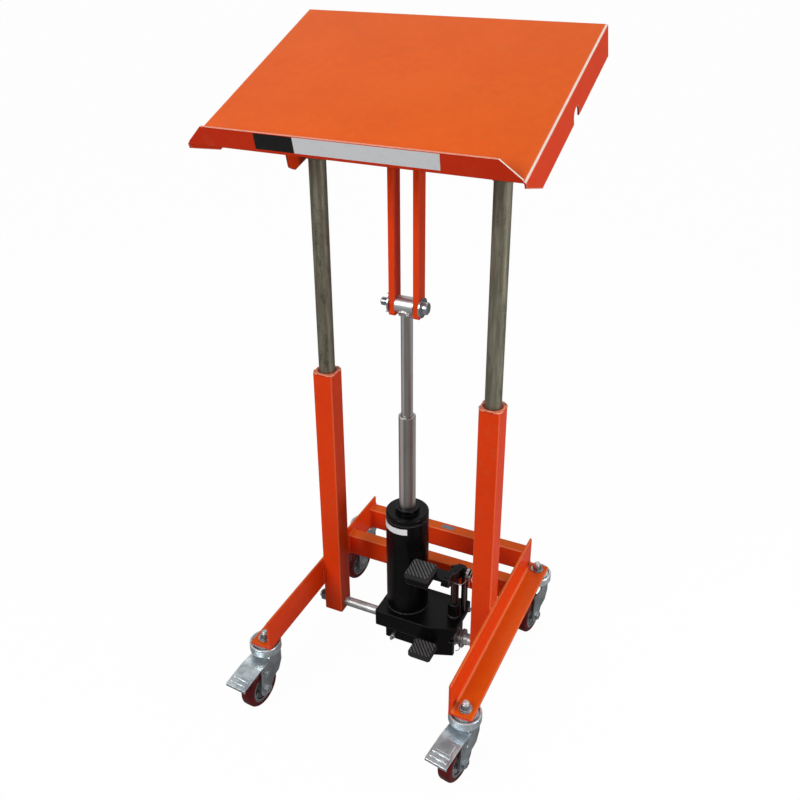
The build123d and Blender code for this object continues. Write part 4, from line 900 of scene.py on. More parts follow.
class MeshBuilder:
    """Collects rings of points, then makes one object of them."""

    def __init__(self, name: str) -> None:
        """Start an empty mesh for the object of that name."""
        self.name = name
        self.form = bmesh.new()

    def tube(self, rings: Sequence[Sequence[Vector]], closed: bool = False, caps: bool = True) -> None:
        """Skin a list of rings.

        Args:
            rings: Rings of equal length, in order along the tube.
            closed: Whether the last ring joins the first.
            caps: Whether open ends are filled.
        """
        loops = [[self.form.verts.new(point) for point in ring] for ring in rings]
        count = len(loops[0])
        pairs = list(zip(loops, loops[1:]))
        if closed:
            pairs.append((loops[-1], loops[0]))
        for lower, upper in pairs:
            for index in range(count):
                after = (index + 1) % count
                self.form.faces.new((lower[index], lower[after], upper[after], upper[index]))
        if caps and not closed:
            self.form.faces.new(list(reversed(loops[0])))
            self.form.faces.new(loops[-1])

    def slab(self, outline: Sequence[Vector], thickness: Vector) -> None:
        """A flat piece from the corners of one face, in order, and the offset to the other face."""
        self.tube([list(outline), [point + thickness for point in outline]])

    def finish(
        self,
        material: bpy.types.Material,
        body: str = Body.CHASSIS.value,
        smooth: bool = True,
        bevel: float = 0.0,
    ) -> bpy.types.Object:
        """Make the object, dress it and let it ride on a body.

        Args:
            material: Material of the whole piece.
            body: Name of the CAD body it moves with.
            smooth: Whether the faces are shaded smooth.
            bevel: Width of a bevel on sharp edges in metres.

        Returns:
            The new object.
        """
        bmesh.ops.recalc_face_normals(self.form, faces=self.form.faces)
        mesh = bpy.data.meshes.new(self.name)
        self.form.to_mesh(mesh)
        self.form.free()
        mesh.materials.append(material)
        if smooth:
            mesh.shade_smooth()
        piece = bpy.data.objects.new(self.name, mesh)
        bpy.context.scene.collection.objects.link(piece)
        if bevel:
            rounding = piece.modifiers.new("rounded", "BEVEL")
            rounding.width = bevel
            rounding.segments = 2
            rounding.limit_method = "ANGLE"
        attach(piece, body)
        log.info("%s: %d faces on %s", self.name, len(mesh.polygons), body)
        return piece


def on_circle(radius: float, angle: float, height: float = 0.0) -> Vector:
    """A point on a circle round the Z axis, at an angle from X."""
    return Vector((radius * math.cos(angle), radius * math.sin(angle), height))


def lathe(profile: Profile, place: Matrix, count: int) -> Rings:
    """Rings of a piece turned round the Z axis of a place, from pairs of radius and height."""
    angles = [2 * math.pi * index / count for index in range(count)]
    return [[place @ on_circle(radius, angle, height) for angle in angles] for radius, height in profile]


def ring_at(centre: Vector, along: Vector, radius: float, count: int) -> list[Vector]:
    """A circle of points square to a direction.

    Args:
        centre: Middle of the circle.
        along: Direction that the circle faces.
        radius: Circle radius.
        count: Number of points.

    Returns:
        The points.
    """
    axis = along.normalized()
    side = axis.orthogonal() if abs(axis.z) > 0.9 else axis.cross(UP)
    side.normalize()
    other = axis.cross(side)
    angles = [2 * math.pi * index / count for index in range(count)]
    return [centre + radius * (math.cos(a) * side + math.sin(a) * other) for a in angles]


def resample(points: Sequence[Vector], step: float, closed: bool = False) -> list[Vector]:
    """Even points along a path.

    Args:
        points: Corners of the path.
        step: Distance between new points.
        closed: Whether the path returns to its start.

    Returns:
        Points about one step apart.
    """
    corners = list(points) + ([points[0]] if closed else [])
    spaced: list[Vector] = []
    for first, second in zip(corners, corners[1:]):
        count = max(1, round((second - first).length / step))
        spaced += [first.lerp(second, index / count) for index in range(count)]
    return spaced if closed else spaced + [corners[-1]]


def along_path(points: Sequence[Vector], index: int, closed: bool = False) -> Vector:
    """Direction of a path at one of its points.

    Args:
        points: The path.
        index: Number of the point.
        closed: Whether the path returns to its start.

    Returns:
        A vector of length 1.
    """
    last = len(points) - 1
    before = points[index - 1] if index or closed else points[0]
    after = points[(index + 1) % len(points)] if index < last or closed else points[last]
    return (after - before).normalized()


def strand(points: Sequence[Vector], radius: float, count: int = 8) -> Rings:
    """Rings of a round wire along an open path."""
    return [ring_at(point, along_path(points, index), radius, count) for index, point in enumerate(points)]


def bead_rings(points: Sequence[Vector], radius: float, pitch: float, seed: int, closed: bool) -> Rings:
    """Rings of a weld bead: a worm whose thickness ripples.

    Args:
        points: Corners of the joint.
        radius: Mean radius of the bead.
        pitch: Distance between ripples.
        seed: Seed of its unevenness.
        closed: Whether the joint runs all the way round.

    Returns:
        Rings of points.
    """
    rng = random.Random(seed)
    steps = resample(points, pitch / 3, closed)
    sway = [rng.uniform(-SWAY, SWAY) for _ in steps]
    rings = []
    for index, point in enumerate(steps):
        ripple = RIPPLES[index % 3] + sway[index]
        if not closed and index in (0, len(steps) - 1):
            ripple *= TAPER
        rings.append(ring_at(point, along_path(steps, index, closed), radius * ripple, 8))
    return rings


def section(box: tuple[Point, Point], axis: int, level: float) -> Joint:
    """The outline of a box at one level of an axis, as a closed joint.

    Args:
        box: Low and high corner.
        axis: Number of the axis that the outline is square to.
        level: Place on that axis.

    Returns:
        Its four corners in order, and that it is closed.
    """
    low, high = box
    first, second = (other for other in range(3) if other != axis)
    corners = []
    for one, two in ((low, low), (high, low), (high, high), (low, high)):
        corner = Vector((level, level, level))
        corner[first], corner[second] = one[first], two[second]
        corners.append(corner)
    return corners, True


def middle_of(node: str) -> Vector:
    """Centre of a CAD node's box."""
    low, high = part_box(node)
    return (Vector(low) + Vector(high)) / 2


def half_of(node: str, axis: int) -> float:
    """Half of a CAD node's extent along an axis."""
    low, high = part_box(node)
    return (high[axis] - low[axis]) / 2


def joint_of(name: str) -> dict:
    """One of the frame's joints by name."""
    return next(joint for joint in FRAME["joints"] if joint["name"] == name)


def facing_right(at: Sequence[float], side: int = 1) -> Matrix:
    """A frame at a point, whose Z looks right, or left where the side is -1."""
    return Matrix.Translation(at) @ Matrix.Rotation(side * math.pi / 2, 4, "Y")


# ---------------------------------------------------------------- welds


@dataclass
class Welds:
    """Weld beads where the frame, the mast and the top are joined.

    Args:
        palette: All finishes.
        bead: Usual radius of a bead.
        pitch: Distance between ripples.
        seed: Seed of the unevenness.
        sunk: How far a bead lies inside the face that it goes round.
        bar_sunk: The same at the drop bars' heads.
        foot_gap: Length of the rail's foot that the mast's upright beads leave bare.
        head_gap: The same at the rail's upper edge.
        ear: A post's corner bead as shares of half the post's width: its reach to both sides, its
            distance from the post's middle, and how far its ends fold back.
        ear_flat: Share of the corner bead that is not folded.
        ear_rise: Height of the corner beads over the post's top.
        top_bead: Radius of the beads on a post's top.
        top_ring: Radius of their ring, as a share of half the post's width.
        ring_points: Points round the ring on a post.
        rod_beads: How far each bead under the crosshead stands off the rod, and below the sleeve.
        rod_bead: Radius of those beads.
        rod_points: Points round them.
        tank_bead: Radius of the bead at the oil tank's foot.
        tank_gap: Distance of its middle from the tank.
        tank_points: Points round it.
    """

    palette: Palette
    bead: float = 0.0021
    pitch: float = 0.0045
    seed: int = 11
    sunk: float = 0.0006
    bar_sunk: float = 0.0005
    foot_gap: float = 0.004
    head_gap: float = 0.002
    ear: Point = (0.46, 1.16, 0.16)
    ear_flat: float = 0.4
    ear_rise: float = 0.0004
    top_bead: float = 0.0030
    top_ring: float = 0.97
    ring_points: int = 28
    rod_beads: tuple[tuple[float, float], ...] = ((0.0018, 0.0004), (0.0002, 0.0030))
    rod_bead: float = 0.0033
    rod_points: int = 24
    tank_bead: float = 0.0018
    tank_gap: float = 0.0004
    tank_points: int = 60

    def run(
        self,
        name: str,
        paths: Iterable[Joint],
        material: bpy.types.Material,
        radius: Optional[float] = None,
        body: Body = Body.CHASSIS,
    ) -> None:
        """Lay beads along several joints as one piece.

        Args:
            name: Piece name.
            paths: Joint corners, and whether each joint is closed.
            material: Finish.
            radius: Bead radius, the class's own if left out.
            body: Body it rides on.
        """
        builder = MeshBuilder(name)
        for number, (corners, closed) in enumerate(paths):
            seed = self.seed + number
            builder.tube(bead_rings(corners, radius or self.bead, self.pitch, seed, closed), closed)
        builder.finish(material, body.value)

    def ends(self, node: str) -> list[Joint]:
        """Joints round both ends of a box that lies across."""
        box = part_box(node)
        return [section(box, 0, box[0][0] + self.sunk), section(box, 0, box[1][0] - self.sunk)]

    def mast(self) -> None:
        """Beads between the posts and the rails."""
        low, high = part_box("post_right")
        rail_low, rail_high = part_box("rail_right")
        paths = []
        for face in (-high[0], high[0]):
            for edge in (low[1], high[1]):
                foot = Vector((face, edge, rail_low[2] + self.foot_gap))
                paths.append(([foot, Vector((face, edge, rail_high[2] - self.head_gap))], False))
            paths.append(([Vector((face, edge, rail_high[2])) for edge in (low[1], high[1])], False))
        self.run("mast_foot_welds", paths, self.palette.orange)

    def post_tops(self) -> None:
        """Rough beads round the guide bush at the top of each post, thick at the corners."""
        half = half_of("post_right", 0)
        centre = middle_of("post_right").x
        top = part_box("post_right")[1][2]
        reach, past, fold = (share * half for share in self.ear)
        paths: list[Joint] = []
        for x in (-centre, centre):
            for quarter in range(4):
                out = on_circle(1.0, math.radians(45 + 90 * quarter))
                corner = Vector((x, 0, top + self.ear_rise)) + out * past
                across = Vector((-out.y, out.x, 0)) * reach
                near, far = corner - across, corner + across
                flat = [corner - across * self.ear_flat, corner + across * self.ear_flat]
                paths.append(([near - out * fold, *flat, far - out * fold], False))
            ring = ring_at(Vector((x, 0, top + self.sunk)), UP, half * self.top_ring, self.ring_points)
            paths.append((ring, True))
        self.run("post_top_welds", paths, self.palette.bead, self.top_bead)

    def bridge(self) -> None:
        """Beads at the bridge's ends and the drop bars' heads."""
        paths = self.ends("carriage_bridge")
        for node in ("drop_bar_left", "drop_bar_right"):
            paths.append(section(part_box(node), 2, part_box(node)[1][2] - self.bar_sunk))
        self.run("bridge_welds", paths, self.palette.orange, body=Body.CARRIAGE)

    def crosshead(self) -> None:
        """Bright unpainted beads where the rod meets its cross sleeve."""
        sleeve = half_of("crosshead_sleeve", 2)
        rod = half_of("ram_rod", 0)
        paths = []
        for out, lower in self.rod_beads:
            steps = range(self.rod_points)
            corners = [on_circle(rod + out, 2 * math.pi * step / self.rod_points) for step in steps]
            for corner in corners:
                drop = math.sqrt(max(sleeve * sleeve - corner.y * corner.y, 0.0))
                corner.z = middle_of("crosshead_sleeve").z - drop - lower
            paths.append((corners, True))
        self.run("crosshead_weld", paths, self.palette.weld, self.rod_bead, Body.CARRIAGE)

    def tank_foot(self) -> None:
        """Enamelled bead where the oil tank stands on the base."""
        foot = Vector((0, 0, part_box("oil_reservoir")[0][2] + self.sunk))
        circle = ring_at(foot, UP, half_of("oil_reservoir", 0) + self.tank_gap, self.tank_points)
        paths = [(circle, True)]
        self.run("reservoir_foot_weld", paths, self.palette.black, self.tank_bead)

    def build(self) -> None:
        """Lay every bead."""
        self.mast()
        beams = self.ends("cross_beam_front") + self.ends("cross_beam_rear")
        self.run("beam_welds", beams, self.palette.orange)
        self.post_tops()
        self.bridge()
        self.crosshead()
        self.tank_foot()


# ---------------------------------------------------------------- blank films


@dataclass
class Films:
    """Blank films on the lip, the oil tank and the rear beam.

    Args:
        palette: All finishes.
        tilt: Turn of the top about X, in radians.
        plate_above_pivot: Height of its upper face, square to it.
        half_depth: Half of its depth.
        skin: Thickness of a film.
        foot: Lower edge of the films on the lip, from the upper face.
        head: Their upper edge.
        black: Left and right end of the black film, and the lean of its ends.
        silver: The same for the silver film.
        tank_drop: Distance of the tank's film from the tank's top.
        tank_height: Height of that film.
        tank_start: Angle of its left end, in degrees.
        tank_sweep: Angle that it goes round, in degrees.
        tank_sag: How much lower its left end is.
        tank_steps: Flats round its bend.
        beam_corners: Corners of the beam's film, across and back from the beam's middle.
    """

    palette: Palette
    tilt: float = TABLE_TILT
    plate_above_pivot: float = 0.0575
    half_depth: float = 0.225
    skin: float = 0.0004
    foot: float = 0.0028
    head: float = 0.0325
    black: Point = (-0.155, -0.084, 0.004)
    silver: Point = (-0.0838, 0.166, 0.003)
    tank_drop: float = 0.0055
    tank_height: float = 0.0145
    tank_start: float = -152.0
    tank_sweep: float = 86.0
    tank_sag: float = 0.002
    tank_steps: int = 28
    beam_corners: Profile = ((-0.015, -0.007), (0.017, -0.008), (0.018, 0.005), (-0.014, 0.006))

    def on_top(self, x: float, along: float, above: float) -> Vector:
        """A point given on the tilting top.

        Args:
            x: Distance to the right.
            along: Distance back along the plate from the pivot.
            above: Height square to the plate, from its upper face.

        Returns:
            The point in the frame.
        """
        rise = above + self.plate_above_pivot
        y = along * math.cos(self.tilt) - rise * math.sin(self.tilt)
        z = along * math.sin(self.tilt) + rise * math.cos(self.tilt)
        return Vector((x, y, joint_of("table_tilt")["pos_m"][2] + z))

    def lip_film(self, name: str, span: Point, material: bpy.types.Material) -> None:
        """A flat film on the lip's front.

        Args:
            name: Piece name.
            span: Its left and right end, and the lean of its ends.
            material: Finish.
        """
        left, right, lean = span
        front = -self.half_depth
        foot, head = self.foot, self.head
        corners = ((left - lean, foot), (right - lean, foot), (right, head), (left, head))
        outward = self.on_top(0, front - self.skin, 0) - self.on_top(0, front, 0)
        builder = MeshBuilder(name)
        builder.slab([self.on_top(x, front, above) for x, above in corners], outward)
        builder.finish(material, Body.TABLE.value, smooth=False)

    def tank_film(self) -> None:
        """White film bent round the oil tank."""
        radius = half_of("oil_reservoir", 0)
        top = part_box("oil_reservoir")[1][2] - self.tank_drop
        outline = ((0.0, 0.0), (self.skin, 0.0), (self.skin, self.tank_height), (0.0, self.tank_height))
        rings = []
        for step in range(self.tank_steps + 1):
            share = step / self.tank_steps
            angle = math.radians(self.tank_start + self.tank_sweep * share)
            level = top - self.tank_sag * (1 - share)
            rings.append([on_circle(radius + out, angle, level - drop) for out, drop in outline])
        builder = MeshBuilder("tank_film")
        builder.tube(rings)
        builder.finish(self.palette.white_film, smooth=False)

    def beam_film(self) -> None:
        """Small grey film on top of the rear beam."""
        middle = middle_of("cross_beam_rear").y
        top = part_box("cross_beam_rear")[1][2]
        builder = MeshBuilder("beam_film")
        builder.slab([Vector((x, middle + back, top)) for x, back in self.beam_corners], UP * self.skin)
        builder.finish(self.palette.grey_film, smooth=False)

    def build(self) -> None:
        """Fix every film."""
        self.lip_film("lip_film_black", self.black, self.palette.black_film)
        self.lip_film("lip_film_silver", self.silver, self.palette.foil)
        self.tank_film()
        self.beam_film()


# ---------------------------------------------------------------- return spring


@dataclass
class ReturnSpring:
    """Wound torsion spring round the lever's pivot, in place of its plain CAD sleeve.

    Args:
        palette: All finishes.
        wire: Radius of the wire.
        radius: Radius of the coil, to the wire's middle.
        turns: Number of turns.
        steps: Points in one turn.
        wire_points: Points round the wire.
        leg_step: Distance between points on the straight leg.
        leg_foot: Height of the leg's end over the CAD sleeve's foot.
        leg_head: Distance of the leg's last point below the coil's first.
    """

    palette: Palette
    wire: float = 0.00125
    radius: float = 0.01025
    turns: int = 4
    steps: int = 28
    wire_points: int = 10
    leg_step: float = 0.004
    leg_foot: float = 0.0002
    leg_head: float = 0.002

    def build(self) -> None:
        """Wind the spring and its straight lower leg."""
        low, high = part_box("spring_coil")
        pin = middle_of("lever_pivot_pin")
        start = low[0] + 2 * self.wire
        reach = high[0] - self.wire - start
        total = self.turns * self.steps
        coil = []
        for step in range(total + 1):
            angle = math.pi - 2 * math.pi * step / self.steps
            y, z = self.radius * math.cos(angle), self.radius * math.sin(angle)
            coil.append(Vector((start + reach * step / total, pin.y + y, pin.z + z)))
        foot = Vector((start, pin.y - self.radius, low[2] + self.leg_foot))
        leg = resample([foot, coil[0] - UP * self.leg_head], self.leg_step)
        builder = MeshBuilder("return_spring")
        builder.tube(strand(leg + coil, self.wire, self.wire_points))
        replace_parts(builder.finish(self.palette.wire), "spring_coil")


# ---------------------------------------------------------------- fasteners


@dataclass
class Thread:
    """The helical thread of one bolt's end.

    Args:
        radius: Crest radius.
        length: Threaded length.
        pitch: Pitch of the thread.
        depth: Depth of its groove.
        neck: Depth of its last ring.
        count: Points round each ring.
        rows: Rings in one pitch.
    """

    radius: float
    length: float
    pitch: float = 0.00175
    depth: float = 0.0009
    neck: float = 0.0014
    count: int = 20
    rows: int = 4

    def rings(self, place: Matrix) -> Rings:
        """Rings of the thread.

        Args:
            place: Bolt axis as Z, starting at the thread's foot.

        Returns:
            Rings of points.
        """
        levels = int(self.length / self.pitch * self.rows)
        rings = []
        for level in range(levels + 1):
            height = min(level * self.pitch / self.rows, self.length)
            ring = []
            for index in range(self.count):
                turn = index / self.count
                groove = abs((level / self.rows + turn) % 1.0 - 0.5) * 2
                deep = self.depth * groove if level < levels else self.neck
                ring.append(place @ on_circle(self.radius - deep, 2 * math.pi * turn, height))
            rings.append(ring)
        return rings


@dataclass
class Fasteners:
    """Threads, locking collars and split pins on the CAD fasteners.

    Args:
        palette: All finishes.
        washer: Radius of the castor stems' washers.
        stem: Radius of a castor's stem.
        axle: Radius of the mast axle.
        proud: How far a thread stands out of the CAD bolt, outwards and past its end.
        collar: Outline of a locking collar, outwards from the stem and up from the nut.
        split_inset: Distance of the split pin from the crosshead pin's tail.
        split_wire: Radius of the split pin's wire.
        split_eye: Radius of its eye.
        split_turn: Angle where the eye starts and angle that it goes round, in degrees.
        split_steps: Steps round the eye.
        split_head: Distance of the eye's foot above the pin's middle.
        split_foot: Distance of the legs' start below it.
        split_legs: Bends of one leg, from its start.
        washer_feet: Distance of each washer from the pump's base.
        washer_rim: Outline of a washer's rim, outwards from the spacers and from its foot.
        washer_wall: Thickness of a washer.
        bore_gap: Distance of the washers' bore from the axle.
        gap_shade_inset: How much smaller than the spacers the black ring between the washers is.
        side_nut: Outline of the nut beside the washers.
        side_wire: Bends of the wire beside the nut, from its start.
        side_wire_radius: Radius of that wire.
        side_wire_start: Where it starts, right of the base, in front of the axle as a share of the
            spacers' radius, and above it.
        lever_wires: Place back, place up and length of each split pin's leg beside the lever.
        lever_bends: Bends of a leg: right, back, and down as a share of its length.
        lever_wire_radius: Radius of those legs.
        lever_wire_gap: Distance of the legs from the spring.
        lever_head: Outline of the bright head on the lever's pin.
        collar_points: Points round a collar and round that head.
        rim_points: Points round the washers and that black ring.
        wire_step: Distance between points on a bent wire.
    """

    palette: Palette
    washer: float = 0.014
    stem: float = 0.006
    axle: float = 0.008
    proud: float = 0.0002
    collar: Profile = (
        (0.0001, -0.0004),
        (0.0019, -0.0004),
        (0.0019, 0.0005),
        (0.0012, 0.0011),
        (0.0005, 0.0012),
        (0.0001, 0.0008),
    )
    split_inset: float = 0.0153
    split_wire: float = 0.0012
    split_eye: float = 0.0045
    split_turn: tuple[float, float] = (-60.0, 300.0)
    split_steps: int = 14
    split_head: float = 0.0115
    split_foot: float = 0.012
    split_legs: tuple[Point, ...] = (
        (0.0, 0.0007, 0.0),
        (-0.0006, 0.0016, -0.0025),
        (-0.0022, 0.0042, -0.0048),
        (-0.0030, 0.0080, -0.0054),
    )
    washer_feet: tuple[float, ...] = (0.0, 0.0042)
    washer_rim: Profile = ((0.0008, 0.0), (0.0014, 0.0005), (0.0014, 0.0013), (0.0008, 0.0018))
    washer_wall: float = 0.0018
    bore_gap: float = 0.0045
    gap_shade_inset: float = 0.002
    side_nut: Profile = ((0.0138, 0.006), (0.0138, 0.0145), (0.0126, 0.0155))
    side_wire: tuple[Point, ...] = (
        (0.002, -0.005, -0.008),
        (-0.002, -0.008, -0.02),
        (-0.010, -0.007, -0.027),
    )
    side_wire_radius: float = 0.0009
    side_wire_start: Point = (0.004, 0.7, 0.004)
    lever_wires: tuple[Point, ...] = ((-0.011, 0.004, 0.030), (0.003, 0.0, 0.024))
    lever_bends: tuple[Point, ...] = ((0.0022, -0.002, 0.3), (-0.001, 0.003, 0.62), (0.0016, -0.001, 1.0))
    lever_wire_radius: float = 0.0013
    lever_wire_gap: float = 0.0012
    lever_head: Profile = (
        (0.0005, 0.0),
        (0.0062, 0.0),
        (0.0066, 0.0008),
        (0.0058, 0.002),
        (0.0005, 0.0022),
    )
    collar_points: int = 32
    rim_points: int = 48
    wire_step: float = 0.0025

    def turned(
        self,
        name: str,
        place: Matrix,
        profiles: Iterable[Profile],
        count: int,
        material: Optional[bpy.types.Material] = None,
        closed: bool = True,
    ) -> None:
        """One piece of turned rings.

        Args:
            name: Piece name.
            place: Where their axis (Z) goes.
            profiles: Radius and height pairs of each ring.
            count: Points round each ring.
            material: Finish, that of a fastener if left out.
            closed: Whether each profile is a closed loop.
        """
        builder = MeshBuilder(name)
        for profile in profiles:
            builder.tube(lathe(profile, place, count), closed, caps=False)
        builder.finish(material or self.palette.fastener)

    def thread(self, name: str, place: Matrix, radius: float, length: float) -> None:
        """Thread over a bolt's end, a little proud of it.

        Args:
            name: Piece name.
            place: Bolt axis as Z, starting at the thread's foot.
            radius: Radius of the CAD bolt.
            length: Length of its end.
        """
        builder = MeshBuilder(name)
        builder.tube(Thread(radius + self.proud, length + self.proud).rings(place))
        builder.finish(self.palette.fastener)

    def wire(self, name: str, start: Vector, bends: Sequence[Point], radius: float) -> None:
        """A bent wire.

        Args:
            name: Piece name.
            start: Its first point.
            bends: Its further points, from the start.
            radius: Its radius.
        """
        path = [start] + [start + Vector(bend) for bend in bends]
        builder = MeshBuilder(name)
        builder.tube(strand(resample(path, self.wire_step), radius))
        builder.finish(self.palette.fastener)

    def stems(self) -> None:
        """Threads over the castors' stem nuts, and the nuts' rolled collars."""
        low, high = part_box("castor_stem_nuts")
        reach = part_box("castor_stems")[1][2] - high[2]
        collar = [(self.stem + out, rise) for out, rise in self.collar]
        for corner in Corner:
            end, side = corner.value.split("_")
            x = high[0] - self.washer if side == "right" else low[0] + self.washer
            y = high[1] - self.washer if end == "rear" else low[1] + self.washer
            place = Matrix.Translation((x, y, high[2]))
            self.turned(f"stem_collar_{corner.value}", place, [collar], self.collar_points, closed=False)
            self.thread(f"stem_thread_{corner.value}", place, self.stem, reach)

    def axle_ends(self) -> None:
        """Threads at both ends of the mast axle."""
        low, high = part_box("axle_end_fasteners")
        axle = middle_of("mast_axle")
        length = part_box("mast_axle")[1][0] - high[0]
        for name, side, face in (("left", -1, low[0]), ("right", 1, high[0])):
            place = facing_right((face, axle.y, axle.z), side)
            self.thread(f"axle_thread_{name}", place, self.axle, length)

    def tail_pin(self) -> None:
        """Eye and spread legs of the split pin through the crosshead pin's tail."""
        at = middle_of("crosshead_pin")
        at.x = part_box("crosshead_pin")[0][0] + self.split_inset
        head = at + UP * (self.split_head + self.split_eye)
        first, sweep = self.split_turn
        eye = []
        for step in range(self.split_steps + 1):
            angle = math.radians(first + sweep * step / self.split_steps)
            side, rise = self.split_eye * math.cos(angle + math.pi / 2), self.split_eye * math.sin(angle)
            eye.append(head + Vector((0, side, rise)))
        builder = MeshBuilder("split_pin_tail")
        builder.tube(strand(eye, self.split_wire))
        foot = at - UP * self.split_foot
        for side in (-1, 1):
            leg = [foot + Vector((x, y * side, z)) for x, y, z in self.split_legs]
            builder.tube(strand(leg, self.split_wire))
        builder.finish(self.palette.fastener, Body.CARRIAGE.value)

    def pump_side(self) -> None:
        """Washers, a black ring that paints the shade between them, nut and a bent wire on the axle at the
        pump's right.
        """
        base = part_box("pump_base")[1][0]
        axle = middle_of("mast_axle")
        place = facing_right((base, axle.y, axle.z))
        rim = half_of("axle_spacers", 2)
        inner = self.axle + self.bore_gap
        washers = []
        for foot in self.washer_feet:
            sides = [(rim + out, foot + rise) for out, rise in self.washer_rim]
            washers.append([(inner, foot), *sides, (inner, foot + self.washer_wall)])
        self.turned("pump_side_washers", place, washers, self.rim_points)
        # black ring between the washers: painted shade in the gap between them
        near, far, outer = self.washer_wall, self.washer_feet[1], rim - self.gap_shade_inset
        gap_shade = [(inner, near), (outer, near), (outer, far), (inner, far)]
        self.turned("pump_side_gap_shade", place, [gap_shade], self.rim_points, self.palette.black)
        builder = MeshBuilder("pump_side_nut")
        builder.tube(lathe(self.side_nut, place, 6))
        builder.finish(self.palette.nut, smooth=False)
        right, front, rise = self.side_wire_start
        start = Vector((base + right, axle.y - rim * front, axle.z + rise))
        self.wire("pump_side_wire", start, self.side_wire, self.side_wire_radius)

    def lever_pins(self) -> None:
        """Bright head and bent split pins at the lever's right, beside its spring."""
        pin = middle_of("lever_pivot_pin")
        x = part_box("spring_coil")[1][0] + self.lever_wire_gap
        for number, (back, rise, reach) in enumerate(self.lever_wires):
            start = Vector((x, pin.y + back, pin.z + rise))
            bends = [(right, behind, -reach * share) for right, behind, share in self.lever_bends]
            self.wire(f"lever_split_pin_{number}", start, bends, self.lever_wire_radius)
        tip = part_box("lever_pivot_pin")[1][0] - self.lever_head[-1][1]
        place = facing_right((tip, pin.y, pin.z))
        self.turned("lever_pin_head", place, [self.lever_head], self.collar_points)

    def build(self) -> None:
        """Fit every detail."""
        self.stems()
        self.axle_ends()
        self.tail_pin()
        self.pump_side()
        self.lever_pins()


# ---------------------------------------------------------------- brake pedals


@dataclass
class PedalDetails:
    """Pressed ridges and the raised panel on one brake pedal's tread.

    Args:
        palette: All finishes.
        corner: The castor.
        crease_ahead: Distance of the tread's crease in front of the pedal's joint.
        crease_rise: Its height above the joint.
        slope: Slope of the tread in radians.
        tread: Length of the tread.
        ridges: Distance of each ridge from the tread's tip.
        ridge_radius: Radius of a ridge.
        ridge_sunk: Depth of its middle below the face.
        ridge_half: Half of its length.
        ridge_swell: Place of each ring along a ridge's half, and its share of the radius.
        ridge_points: Points round a ridge.
        panel: Near and far end of the panel, from the crease.
        panel_half: Half of its width.
        panel_rise: Its height above the face.
        panel_sunk: Its depth inside the tread.
        panel_bevel: Width of its bevel.
    """

    palette: Palette
    corner: Corner
    crease_ahead: float = 0.021
    crease_rise: float = 0.023
    slope: float = math.radians(10.0)
    tread: float = 0.057
    ridges: tuple[float, ...] = (0.011, 0.022)
    ridge_radius: float = 0.0034
    ridge_sunk: float = 0.0008
    ridge_half: float = 0.0145
    ridge_swell: Profile = ((-1.0, 0.2), (-0.96, 0.7), (-0.88, 1.0), (0.88, 1.0), (0.96, 0.7), (1.0, 0.2))
    ridge_points: int = 14
    panel: tuple[float, float] = (0.006, 0.029)
    panel_half: float = 0.0155
    panel_rise: float = 0.0007
    panel_sunk: float = 0.0004
    panel_bevel: float = 0.0005

    def tread_frame(self) -> Matrix:
        """Find the tread's own frame.

        Returns:
            X across, Y from its tip to its crease, Z square to its face.
        """
        joint = joint_of(f"brake_press_{self.corner.value}")
        across = Vector(joint["axis"]).normalized()
        if across.x < 0:
            across.negate()
        upright = Matrix((across, UP.cross(across), UP)).transposed().to_4x4()
        offset = Vector((0, -self.crease_ahead, self.crease_rise))
        sloped = Matrix.Rotation(self.slope, 4, "X")
        return Matrix.Translation(joint["pos_m"]) @ upright @ Matrix.Translation(offset) @ sloped

    def build(self) -> None:
        """Press the ridges and the panel."""
        frame = self.tread_frame()
        body = f"brake_{self.corner.value}"
        builder = MeshBuilder(f"pedal_ridges_{self.corner.value}")
        for from_tip in self.ridges:
            level = Vector((0, from_tip - self.tread, -self.ridge_sunk))
            rings = []
            for share, swell in self.ridge_swell:
                centre = level + RIGHT * self.ridge_half * share
                ring = ring_at(centre, RIGHT, self.ridge_radius * swell, self.ridge_points)
                rings.append([frame @ point for point in ring])
            builder.tube(rings)
        builder.finish(self.palette.zinc, body)
        near, far = self.panel
        box = ((-self.panel_half, -far, 0.0), (self.panel_half, -near, 0.0))
        corners, _ = section(box, 2, -self.panel_sunk)
        thickness = frame.to_3x3() @ UP * (self.panel_rise + self.panel_sunk)
        builder = MeshBuilder(f"pedal_panel_{self.corner.value}")
        builder.slab([frame @ point for point in corners], thickness)
        builder.finish(self.palette.zinc, body, smooth=False, bevel=self.panel_bevel)


# ---------------------------------------------------------------- castor wheels


